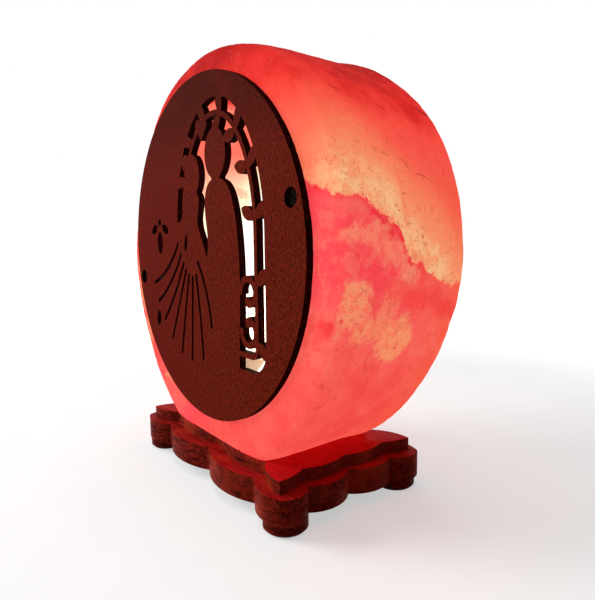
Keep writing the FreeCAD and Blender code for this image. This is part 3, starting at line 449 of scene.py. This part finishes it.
def veined(tree, tint, chart, ragged, crumbly, cloud, lit_side):
    """Adds the cream vein, torn below and fading above, and the pink under it; gives the vein too."""
    flat_depth = parts(tree, chart)[0]
    calm_depth, calm_arc = parts(tree, ragged)[:2]
    torn_depth, torn_arc = parts(tree, crumbly)[:2]
    low_edge = along(tree, flat_depth, (
        (-46, 32), (-40, 27), (-30, 26), (-22, 23), (-15, 18), (-8, 14.5), (-5.5, 7), (1.5, 1),
        (12.7, -4.5), (40, -9)))
    high_edge = along(tree, flat_depth, (
        (-46, 38), (-38, 39), (-30, 43), (-24, 43), (-14, 38), (-5, 30), (3, 22), (14, 13), (24, 3),
        (40, -8)))
    above = sums(tree, "SUBTRACT", torn_arc, low_edge)
    below = sums(tree, "SUBTRACT", calm_arc, high_edge)
    vein = product(tree, slide(tree, above, -0.0008, 0.0010), slide(tree, below, 0.020, -0.016),
                   lit_side, slide(tree, calm_depth, -0.044, -0.030, 0.2, 1))
    halo = product(tree, slide(tree, above, -0.001, 0.001), slide(tree, below, 0.034, -0.004), lit_side)
    # the pink is deepest along the vein
    pink = product(tree, slide(tree, above, 0.001, -0.001), slide(tree, torn_arc, -0.020, -0.002),
                   slide(tree, torn_depth, 0.010, -0.006), lit_side)
    tint = over(tree, tint, (255, 70, 82), pink, 0.85)
    tint = over(tree, tint, (240, 42, 58), pink, slide(tree, above, -0.012, -0.001),
                slide(tree, cloud, 0.62, 0.42))
    mottle = slide(tree, grains(tree, crumbly, 80, 6, roughness=0.78), 0.47, 0.60)
    tint = over(tree, tint, (255, 112, 98), mottle, lit_side, 0.75, slide(tree, above, 0.0, -0.004),
                slide(tree, torn_arc, -0.046, -0.032))
    tint = over(tree, tint, (255, 114, 82), halo, 0.9)
    tint = over(tree, tint, (255, 150, 106), vein)
    heart = slide(tree, grains(tree, crumbly, 110, 5, roughness=0.7), 0.36, 0.60)
    tint = over(tree, tint, (253, 192, 138), vein, heart, slide(tree, calm_depth, 0.030, 0.010),
                slide(tree, above, 0.024, 0.006, 0.1, 1))
    bright = slide(tree, grains(tree, crumbly, 190, 6, roughness=0.75), 0.54, 0.62)
    tint = over(tree, tint, (254, 216, 158), vein, bright, slide(tree, calm_depth, 0.012, 0.0),
                slide(tree, above, 0.014, 0.004), 0.8)
    return tint, vein


def patched(tree, tint, place, ragged, crumbly, lit_side):
    """Adds paler, crumbly patches in the pink and below it, and then deeper, softer ones."""
    crumbs = slide(tree, grains(tree, place, 260, 6, roughness=0.8), 0.42, 0.56, 0.35, 1.0)
    for middle, reach, lean, soft, share, shade in (
            ((-24, 12.5), (12, 3), 10, 0.4, 0.9, (254, 134, 106)),
            ((-13, 6), (9, 4.5), -30, 0.5, 0.8, (254, 136, 106)),
            ((-3, -3), (6, 4), -35, 0.5, 0.7, (252, 158, 120)),
            ((-26.5, -11), (7, 9), -12, 0.25, 1.0, (252, 148, 108)),
            ((-17, -20), (9, 5), 18, 0.3, 1.0, (250, 142, 100)),
            ((-4, -26.5), (9, 9), 24, 0.25, 1.0, (252, 150, 104)),
            ((-12, -13), (5, 9), -30, 0.4, 0.8, (252, 128, 98)),
            ((-33, -19), (3, 7), 0, 0.4, 0.8, (252, 134, 104))):
        tint = over(tree, tint, shade, patch(tree, crumbly, middle, reach, lean, soft), crumbs, share,
                    lit_side)
    for middle, reach, lean, soft, share, shade in (
            ((6, -11), (17, 5), -12, 0.7, 0.7, (252, 68, 68)),
            ((22, -17), (8, 3), -14, 0.7, 0.55, (242, 54, 50)),
            ((-39, -20), (5, 3), 0, 0.6, 0.8, (240, 54, 60)),
            ((-30.2, -16.2), (1.3, 1.1), 0, 0.5, 0.8, (232, 58, 62))):
        tint = over(tree, tint, shade, patch(tree, ragged, middle, reach, lean, soft), share, lit_side)
    return tint


def clouded(tree, tint, place, bent, lit_side):
    """Adds clouds and veins to the sides and back that the long vein doesn't reach."""
    height = parts(tree, place)[2]
    other = grains(tree, bent, 22, 6, (1, 1.3, 1.8), 0.64)
    far_side = sums(tree, "SUBTRACT", 1.0, lit_side)
    tint = over(tree, tint, (254, 150, 112), slide(tree, other, 0.55, 0.60), far_side, 0.75,
                slide(tree, height, 0.17, 0.15))
    return over(tree, tint, (255, 72, 86), slide(tree, other, 0.44, 0.38), far_side, 0.7,
                slide(tree, height, 0.17, 0.14))


def specked(tree, tint, place, bent, pale):
    """Adds grain all over: pale flecks, fine dirt, scratches and smears, darkest where it is pale."""
    fleck = slide(tree, grains(tree, place, 560, 4, roughness=0.8), 0.60, 0.70)
    tint = over(tree, tint, (255, 196, 160), fleck, 0.2)
    dirt = slide(tree, grains(tree, place, 760, 5, (1, 0.7, 1), 0.85), 0.55, 0.64)
    tint = over(tree, tint, (198, 72, 50), dirt,
                sums(tree, "ADD", 0.18, sums(tree, "MULTIPLY", pale, 0.52)))
    scratch = slide(tree, grains(tree, bent, 320, 5, (1, 0.4, 1.4), 0.82), 0.585, 0.635)
    tint = over(tree, tint, (186, 50, 44), scratch,
                sums(tree, "ADD", 0.18, sums(tree, "MULTIPLY", pale, 0.34)))
    smear = slide(tree, grains(tree, place, 120, 5, (1, 2.6, 1), 0.7), 0.57, 0.68)
    return over(tree, tint, (212, 38, 38), smear, 0.3)


def cracks(tree, where):
    """Thin dark cracks, each between two places on the laid-out skin."""
    gashes = 0.0
    for start, end, width, strength in (
            ((-20.2, 70.9), (-15.8, 67.4), 0.8, 0.32), ((-3.5, 64.3), (2.6, 58.9), 1.0, 0.22),
            ((19.6, 65.6), (27.6, 57.8), 0.8, 0.7), ((-11, 40.7), (-8.7, 39.4), 0.4, 0.32),
            ((-3.6, 39.1), (-0.5, 38.1), 0.35, 0.3), ((-0.7, 38.7), (2.4, 34.4), 0.35, 0.38),
            ((3.5, 34.4), (11.8, 31.4), 0.35, 0.38), ((-31, -52.2), (-27, -51), 0.5, 0.22)):
        run = Vector(end) - Vector(start)
        crack = patch(tree, where, (Vector(start) + Vector(end)) / 2, (run.length / 2, width),
                      math.degrees(math.atan2(run.y, run.x)))
        gashes = sums(tree, "MAXIMUM", gashes, product(tree, strength, crack))
    return gashes


def hollowed(tree, place):
    """Where the hollow is, how far a place is from the bulb, and the hollow's tint, painted near-white
    by the bulb close to it.
    """
    east, depth, height = parts(tree, place)
    gap = node(tree, "ShaderNodeVectorMath", {0: place, 1: (0, 0, BULB_MIDDLE * MM)}, output="Value",
               operation="DISTANCE")
    from_axis = from_middle(tree, east, sums(tree, "SUBTRACT", height, CAVITY_MIDDLE * MM))
    hollow = product(tree, slide(tree, from_axis, 0.0640, 0.0615), slide(tree, depth, 0.017, 0.0158))
    # painted light: near-white where the bulb's light falls on the hollow's walls close to it
    tint = laid_over(tree, slide(tree, gap, 0.080, 0.094), colour(255, 246, 206), colour(255, 108, 90))
    tint = over(tree, tint, (255, 255, 248), slide(tree, gap, 0.078, 0.070), 0.9)
    stained = slide(tree, grains(tree, place, 75, 5, roughness=0.7), 0.52, 0.62, 0, 0.6)
    tint = over(tree, tint, (255, 150, 118), stained, slide(tree, gap, 0.070, 0.082))
    return hollow, gap, tint


def salt_finish():
    """Glowing rock salt: coral, with deep red painted as shade towards the top, a cream vein and pale
    patches.
    """
    made, tree, shader, place = new_finish("rock_salt", Roughness=0.7, Specular_IOR_Level=0.02)
    east, depth, height = parts(tree, place)
    chart = rolled_out(tree, place)
    ragged = torn(tree, place, chart, 13, 6)
    crumbly = torn(tree, place, chart, 9, 8, 0.78)
    wriggly = torn(tree, place, chart, 14, 3)
    bent = node(tree, "ShaderNodeTexNoise", {"Vector": place, "Scale": 60.0, "Detail": 4.0},
                output="Color")
    bent = node(tree, "ShaderNodeVectorMath", {0: bent, 1: (0.014, 0.014, 0.014), 2: place},
                operation="MULTIPLY_ADD")
    lit_side = slide(tree, east, -0.01, 0.02)
    cloud = grains(tree, place, 42, 6, (1, 1.4, 1), 0.6)
    top = sums(tree, "ADD", height, sums(tree, "MULTIPLY", depth, 0.22))
    top = sums(tree, "ADD", top, sums(tree, "MULTIPLY", sums(tree, "SUBTRACT", cloud, 0.5), 0.05))

    tint = coral(tree, place, ragged, cloud, top)
    tint, vein = veined(tree, tint, chart, ragged, crumbly, cloud, lit_side)
    tint = patched(tree, tint, place, ragged, crumbly, lit_side)
    tint = clouded(tree, tint, place, bent, lit_side)
    pale = product(tree, patch(tree, ragged, (-16, -18), (18, 20), 0, 0.4), lit_side, 0.9)
    tint = specked(tree, tint, place, bent, sums(tree, "MAXIMUM", vein, pale))
    gashes = cracks(tree, wriggly)
    tint = over(tree, tint, (112, 18, 14), gashes, lit_side)
    hollow, gap, hollow_tint = hollowed(tree, place)
    tint = laid_over(tree, hollow, tint, hollow_tint)

    # it takes some light, and gives most of its own, least at the top and most near the bulb
    painted(tree, shader, "Base Color", laid_over(tree, 0.72, tint, (0, 0, 0, 1)))
    painted(tree, shader, "Emission Color", tint)
    shine = slide(tree, top, 0.150, 0.186, 0.86, 0.5)
    shine = node(tree, "ShaderNodeMix", {0: hollow, 2: shine, 3: 1.0})
    near_bulb = product(tree, hollow, slide(tree, gap, 0.082, 0.060, 0, 0.35))
    painted(tree, shader, "Emission Strength", product(tree, shine, sums(tree, "ADD", 1.0, near_bulb)))
    rough = sums(tree, "ADD", grains(tree, place, 900, 4, roughness=0.7),
                 sums(tree, "MULTIPLY", grains(tree, place, 160, 3), 1.2))
    bumped(tree, shader, sums(tree, "SUBTRACT", rough, gashes), 0.0004, 0.7)
    return made


salt = salt_finish()
raw = as_piece("raw_block", block, salt)
weight = raw.data.attributes.new("outside", "FLOAT", "POINT")
for index in range(len(raw.data.vertices)):
    ring = index // len(rock)
    # the rings next to the mouth, and all inside it, keep their smooth cut
    weight.data[index].value = 1.0 if ring < len(outside) - FACE_RINGS else 0.0
pitted = grown("pitted_block", raw, weathering(), Lump_Size=30 * MM, Lump_Height=1.1 * MM,
               Grain_Size=4 * MM, Grain_Height=0.5 * MM, Pits_per_m2=9000.0, Pit_Radius=1.5 * MM,
               Pit_Depth=0.7 * MM, Seed=5, Finish=salt)
block = bmesh.new()
block.from_mesh(pitted.data)
bpy.data.objects.remove(pitted)
cut = bmesh.ops.bisect_plane(block, geom=block.verts[:] + block.edges[:] + block.faces[:],
                             plane_co=(0, 0, (FLAT + 0.05) * MM), plane_no=(0, 0, 1), clear_inner=True)
bmesh.ops.edgeloop_fill(block, edges=[part for part in cut["geom_cut"]
                                      if isinstance(part, bmesh.types.BMEdge)])
bmesh.ops.recalc_face_normals(block, faces=block.faces)
salt_piece = as_piece("salt_block", block, salt, 60)
# the lampholder's hole up through the flat
drill = bmesh.new()
bmesh.ops.create_cone(drill, cap_ends=True, segments=96, radius1=LAMP_HOLE * MM,
                      radius2=LAMP_HOLE * MM, depth=(DRILL_TO - DRILL_FROM) * MM,
                      matrix=Matrix.Translation((0, 0, (DRILL_FROM + DRILL_TO) / 2 * MM)))
drill_piece = as_piece("drill", drill, salt)
bore = salt_piece.modifiers.new("bore", "BOOLEAN")
bore.operation, bore.solver, bore.object = "DIFFERENCE", "EXACT", drill_piece
bored = bpy.data.meshes.new_from_object(
    salt_piece.evaluated_get(bpy.context.evaluated_depsgraph_get()))
salt_piece.modifiers.clear()
salt_piece.data = bored
bpy.data.objects.remove(drill_piece)
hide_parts("salt_body")
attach(salt_piece, "lamp")


# ================================================================ screws
# Countersunk wood screws, all blackened or zinced steel, with a slotted head and a thread.
# Four hold the board to the salt, one holds each foot, and two hold the panel.
def screw_tree():
    """Geometry nodes for a wood screw at every point given, its head at the point."""
    tree = bpy.data.node_groups.new("wood_screw", "GeometryNodeTree")
    for name, kind in (("Places", "Geometry"), ("Head Radius", "Float"), ("Head Depth", "Float"),
                       ("Shank Radius", "Float"), ("Length", "Float"), ("Thread Pitch", "Float"),
                       ("Slot Width", "Float"), ("Turn", "Vector"), ("Finish", "Material")):
        tree.interface.new_socket(name, in_out="INPUT", socket_type=f"NodeSocket{kind}")
    tree.interface.new_socket("Screws", in_out="OUTPUT", socket_type="NodeSocketGeometry")
    given = tree.nodes.new("NodeGroupInput").outputs

    def moved_up(mesh, height):
        """The mesh moved along the screw, away from its head."""
        shift = node(tree, "ShaderNodeCombineXYZ", {2: height})
        return node(tree, "GeometryNodeTransform", {"Geometry": mesh, "Translation": shift})

    head = node(tree, "GeometryNodeMeshCone", {
        "Vertices": 40, "Side Segments": 3, "Radius Bottom": given["Head Radius"],
        "Radius Top": given["Shank Radius"], "Depth": given["Head Depth"]})
    slot_length = sums(tree, "MULTIPLY", given["Head Radius"], 2.4)
    slot_size = node(tree, "ShaderNodeCombineXYZ", {0: slot_length, 1: given["Slot Width"],
                                                    2: given["Head Depth"]})
    slot = moved_up(node(tree, "GeometryNodeMeshCube", {"Size": slot_size}),
                    sums(tree, "MULTIPLY", given["Head Depth"], -0.1))
    head = node(tree, "GeometryNodeMeshBoolean", {"Mesh 1": head, "Mesh 2": slot},
                operation="DIFFERENCE", solver="EXACT")
    tip_length = sums(tree, "MULTIPLY", given["Shank Radius"], 2.0)
    body = sums(tree, "SUBTRACT", given["Length"], sums(tree, "ADD", given["Head Depth"], tip_length))
    shank = node(tree, "GeometryNodeMeshCylinder", {
        "Vertices": 24, "Radius": given["Shank Radius"], "Depth": body})
    shank = moved_up(shank, sums(tree, "ADD", given["Head Depth"], sums(tree, "MULTIPLY", body, 0.5)))
    tip = node(tree, "GeometryNodeMeshCone", {
        "Vertices": 24, "Radius Bottom": given["Shank Radius"], "Radius Top": 0.00005,
        "Depth": tip_length})
    tip = moved_up(tip, sums(tree, "ADD", given["Head Depth"], body))
    threaded = sums(tree, "MULTIPLY", body, 0.7)
    helix = node(tree, "GeometryNodeCurveSpiral", {
        "Resolution": 20, "Rotations": sums(tree, "DIVIDE", threaded, given["Thread Pitch"]),
        "Start Radius": given["Shank Radius"], "End Radius": given["Shank Radius"],
        "Height": threaded})
    ridge = node(tree, "GeometryNodeCurvePrimitiveCircle", {
        "Resolution": 3, "Radius": sums(tree, "MULTIPLY", given["Thread Pitch"], 0.26)}, mode="RADIUS")
    thread = node(tree, "GeometryNodeCurveToMesh", {"Curve": helix, "Profile Curve": ridge,
                                                    "Fill Caps": True})
    thread = moved_up(thread, sums(tree, "ADD", given["Head Depth"], sums(tree, "MULTIPLY", body, 0.3)))
    join = tree.nodes.new("GeometryNodeJoinGeometry")
    for part in (head, shank, tip, thread):
        tree.links.new(part, join.inputs[0])
    spread = node(tree, "GeometryNodeInstanceOnPoints", {
        "Points": given["Places"], "Instance": join.outputs[0],
        "Rotation": node(tree, "FunctionNodeEulerToRotation", {0: given["Turn"]})})
    solid = node(tree, "GeometryNodeRealizeInstances", {"Geometry": spread})
    done = node(tree, "GeometryNodeSetMaterial", {"Geometry": solid, "Material": given["Finish"]})
    tree.links.new(done, tree.nodes.new("NodeGroupOutput").inputs["Screws"])
    return tree


def metal(name, dark, light, roughness=0.35, scale=900.0, **constants):
    """Worked metal with fine tool marks and uneven shine."""
    made, tree, shader, place = new_finish(name, **{"Metallic": 1.0, **constants})
    marks = grains(tree, place, scale, 4, (1, 1, 3))
    painted(tree, shader, "Base Color", laid_over(tree, slide(tree, marks, 0.3, 0.7), dark, light))
    painted(tree, shader, "Roughness", slide(tree, marks, 0.3, 0.7, roughness * 0.75, roughness * 1.3))
    bumped(tree, shader, marks, 0.00004, 0.4)
    return made


def four_corners(east, north):
    """The corners of an oblong about the middle, from its half sizes."""
    return [(x, y) for x in (-east, east) for y in (-north, north)]


black_steel = metal("black_steel", colour(5, 2, 2), colour(20, 10, 8), 0.7, Metallic=0.0,
                    Specular_IOR_Level=0.01)
zinc_steel = metal("zinc_steel", colour(150, 152, 150), colour(206, 208, 204), 0.3)
screws = screw_tree()
PANEL_SPOTS = ((66.42, 125.72), (-67.61, 91.56))
SUNK = 0.6
# each kind's places, then its head's radius and depth, its shank's radius and its whole length
for node_name, spots, sizes, turn, finish, slot_name in (
        ("board_screws", four_corners(29, 21), (4, 2.4, 2, 30), (0, 0, 0.6), zinc_steel, "zinc_steel"),
        ("foot_screws", four_corners(54.6, 30.6), (2.6, 1.5, 1.3, 12), (0, 0, 1.1), zinc_steel,
         "zinc_steel"),
        ("panel_screws", PANEL_SPOTS, (2.5, 1.2, 1.5, 18.4), (-math.pi / 2, 0.5, 0), black_steel,
         "black_steel")):
    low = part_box(node_name)[0]
    points = bmesh.new()
    for first, second in spots:
        points.verts.new((first * MM, low[1] + SUNK * MM, second * MM) if node_name == "panel_screws"
                         else (first * MM, second * MM, low[2]))
    places = as_piece("places", points, finish)
    head_radius, head_depth, shank_radius, length = (value * MM for value in sizes)
    made = grown(f"slotted_{node_name}", places, screws, Head_Radius=head_radius, Head_Depth=head_depth,
                 Shank_Radius=shank_radius, Length=length, Thread_Pitch=1.1 * MM, Slot_Width=0.8 * MM,
                 Turn=turn, Finish=finish)
    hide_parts(node_name)
    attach(made, "lamp")


# ================================================================ plugs and cord bush
# Ribbed nylon plugs sit in the salt for the panel's and the board's screws. A rubber bush
# guards the cord's way out at the back of the board.
def moulded(name, base, patchy, roughness, scale=700.0, **constants):
    """Moulded plastic or rubber: faint flow marks and a fine skin."""
    made, tree, shader, place = new_finish(name, **constants)
    skin = grains(tree, place, scale, 3)
    flow = grains(tree, place, scale / 9, 2)
    painted(tree, shader, "Base Color", laid_over(tree, slide(tree, flow, 0.35, 0.65), base, patchy))
    painted(tree, shader, "Roughness", slide(tree, skin, 0.3, 0.7, roughness * 0.85, roughness * 1.15))
    bumped(tree, shader, skin, 0.00003, 0.5)
    return made


nylon = moulded("nylon", colour(206, 204, 196), colour(224, 222, 214), 0.5)
rubber = moulded("rubber", colour(24, 23, 23), colour(34, 32, 32), 0.75)
for node_name, finish in (("panel_plugs", nylon), ("board_plugs", nylon), ("cable_grommet", rubber)):
    lamp[node_name].material_slots[0].material = finish


# ================================================================ lampholder
# A small screw holder pushed up into the salt's hole: a threaded tube and nut, a sprung steel
# strip that grips the hole, and a plastic cup and sleeve round the porcelain and brass.
spring_steel = metal("spring_steel", colour(120, 122, 126), colour(176, 178, 182), 0.28)
brass = metal("brass", colour(176, 128, 58), colour(222, 178, 98), 0.26)
holder_plastic = moulded("holder_plastic", colour(232, 214, 182), colour(240, 224, 196), 0.38)
porcelain = moulded("porcelain", colour(232, 228, 220), colour(242, 240, 234), 0.22, 300,
                    Coat_Weight=0.4)
for node_name, finish in (("clip_nipple", zinc_steel), ("clip_nut", zinc_steel),
                          ("spring_clip", spring_steel), ("holder_cup", holder_plastic),
                          ("holder_shell", holder_plastic), ("holder_core", porcelain),
                          ("thread_sleeve", brass), ("centre_contact", brass),
                          ("side_contact", brass), ("terminal_screws", brass)):
    lamp[node_name].material_slots[0].material = finish


# ================================================================ bulb
# A clear pear bulb on a rolled screw cap, turned into the holder's sleeve. It is lit, so that
# its filament and glass are white hot to the eye.
cap_metal = metal("cap_metal", colour(182, 180, 174), colour(214, 212, 206), 0.25)
solder = metal("solder", colour(150, 150, 152), colour(190, 190, 192), 0.4)
black_glass = moulded("black_glass", colour(16, 15, 18), colour(24, 22, 26), 0.15, Coat_Weight=0.5)
lead_wire = metal("lead_wire", colour(146, 140, 132), colour(188, 182, 172), 0.35)
bulb_glass, tree, shader, place = new_finish("bulb_glass", Roughness=0.04, Transmission_Weight=0.75)
haze = grains(tree, place, 240, 3)
painted(tree, shader, "Base Color", laid_over(tree, slide(tree, haze, 0.3, 0.7),
                                              colour(255, 250, 240), colour(255, 244, 226)))
glow = slide(tree, parts(tree, place)[2], 0.055, 0.068, 0.25, 1.1)
shader.inputs["Emission Color"].default_value = colour(255, 246, 226)
painted(tree, shader, "Emission Strength", glow)
bumped(tree, shader, haze, 0.00002, 0.3)
hot, tree, shader, place = new_finish("hot_filament", Roughness=0.6, Emission_Strength=14.0)
coil = grains(tree, place, 5200, 1)
painted(tree, shader, "Emission Color", laid_over(tree, slide(tree, coil, 0.4, 0.6),
                                                  colour(255, 226, 170), colour(255, 248, 226)))
painted(tree, shader, "Base Color", laid_over(tree, coil, colour(90, 80, 70), colour(140, 130, 120)))
for node_name, finish in (("bulb_contact", solder), ("bulb_insulator", black_glass),
                          ("bulb_cap", cap_metal), ("bulb_glass", bulb_glass),
                          ("bulb_stem", bulb_glass), ("bulb_leads", lead_wire),
                          ("bulb_filament", hot)):
    lamp[node_name].material_slots[0].material = finish


# ================================================================ pierced panel
# Three millimetre fibreboard, stained dark brown and cut by laser, so its cut walls and rim are
# burnt nearly black. Two sunk screws hold it, and the bare board shows pale in their holes.
PANEL_FACE = -35.3
panel, tree, shader, place = new_finish("burnt_fibreboard", Specular_IOR_Level=0.01)
east, _, height = parts(tree, place)
fibres = grains(tree, place, 1, 4, (1500, 400, 620), 0.72)
flecks = grains(tree, place, 1, 2, (2600, 400, 1100), 0.6)
hairs = grains(tree, place, 1, 2, (900, 400, 3400), 0.6)
cloud = grains(tree, place, 42, 3)
face = laid_over(tree, slide(tree, fibres, 0.36, 0.64), colour(72, 14, 6), colour(124, 36, 18))
# painted light: redder towards -X, where the salt's red glow falls on the panel
face = laid_over(tree, slide(tree, east, 0.02, -0.055, 0, 0.5), face, colour(94, 13, 6))
face = laid_over(tree, slide(tree, height, 0.138, 0.176, 0, 0.7), face, colour(58, 9, 3))
face = laid_over(tree, slide(tree, cloud, 0.55, 0.75, 0, 0.4), face, colour(110, 28, 15))
face = laid_over(tree, slide(tree, flecks, 0.56, 0.66, 0, 0.7), face, colour(44, 7, 4))
face = laid_over(tree, slide(tree, hairs, 0.62, 0.70, 0, 0.6), face, colour(150, 66, 42))
facing = parts(tree, node(tree, "ShaderNodeTexCoord", output="Normal"))[1]
facing = sums(tree, "ABSOLUTE", facing)
burnt = laid_over(tree, slide(tree, grains(tree, place, 500, 3), 0.4, 0.7), colour(20, 2, 2),
                  colour(52, 4, 4))
coat = laid_over(tree, slide(tree, facing, 0.75, 0.35), face, burnt)
for right, up in PANEL_SPOTS:
    spot = Vector((right, PANEL_FACE, up)) * MM
    gap = node(tree, "ShaderNodeVectorMath", {0: place, 1: spot}, output="Value",
               operation="DISTANCE")
    coat = laid_over(tree, slide(tree, gap, 0.0033, 0.0031), coat, colour(112, 56, 40))
painted(tree, shader, "Base Color", coat)
painted(tree, shader, "Roughness", slide(tree, fibres, 0.3, 0.7, 0.62, 0.8))
bumped(tree, shader, sums(tree, "ADD", fibres, flecks), 0.00012, 0.5)
lamp["front_panel"].material_slots[0].material = panel


# ================================================================ table top and light
# A plain white table that runs out of sight under a white sky, which lights it little. A soft
# lamp stands at the front left, and a weaker one hangs above.
def seen_rays(tree):
    """1 for rays that reach the eye straight, mirrored or through glass, and 0 for the others."""
    rays = tree.nodes.new("ShaderNodeLightPath").outputs
    bent = sums(tree, "ADD", rays["Is Glossy Ray"], rays["Is Transmission Ray"])
    return sums(tree, "ADD", rays["Is Camera Ray"], bent, True)


def blank(name, strength):
    """A white finish that takes a shadow, and is lifted to white for the eye."""
    made, tree, shader, place = new_finish(name, Roughness=0.9, Specular_IOR_Level=0.0)
    paper = grains(tree, place, 30, 2)
    painted(tree, shader, "Base Color", laid_over(tree, slide(tree, paper, 0.3, 0.7),
                                                  (0.5, 0.5, 0.5, 1), (0.52, 0.52, 0.52, 1)))
    shader.inputs["Emission Color"].default_value = (1, 1, 1, 1)
    # far from the lamp no shadow falls, and the white is full
    far = node(tree, "ShaderNodeVectorMath", {0: place}, output="Value", operation="LENGTH")
    painted(tree, shader, "Emission Strength",
            product(tree, seen_rays(tree), slide(tree, far, 0.22, 0.52, strength, 1.0)))
    return made


table = bmesh.new()
bmesh.ops.create_grid(table, x_segments=1, y_segments=1, size=6)
table_piece = as_piece("table_top", table, blank("table_white", 0.52))

world = bpy.data.worlds.new("world")
world.use_nodes = True
bpy.context.scene.world = world
tree = world.node_tree
sky = tree.nodes["Background"]
sky.inputs["Color"].default_value = (1, 1, 1, 1)
tree.links.new(slide(tree, seen_rays(tree), 0, 1, 0.13, 1.0), sky.inputs["Strength"])
for name, spot, power, size in (("key_lamp", (-1.0, -0.88, 0.62), 21.0, 0.7),
                                ("top_lamp", (-0.2, 0.0, 1.4), 7.0, 0.9)):
    lamp_data = bpy.data.lights.new(name, "AREA")
    lamp_data.shape, lamp_data.size, lamp_data.energy = "SQUARE", size, power
    lamp_piece = bpy.data.objects.new(name, lamp_data)
    lamp_piece.location = spot
    away = Vector(spot) - Vector((0, 0, 0.09))
    lamp_piece.rotation_euler = away.to_track_quat("Z", "Y").to_euler()
    bpy.context.collection.objects.link(lamp_piece)

bpy.context.scene.view_settings.view_transform = "Standard"
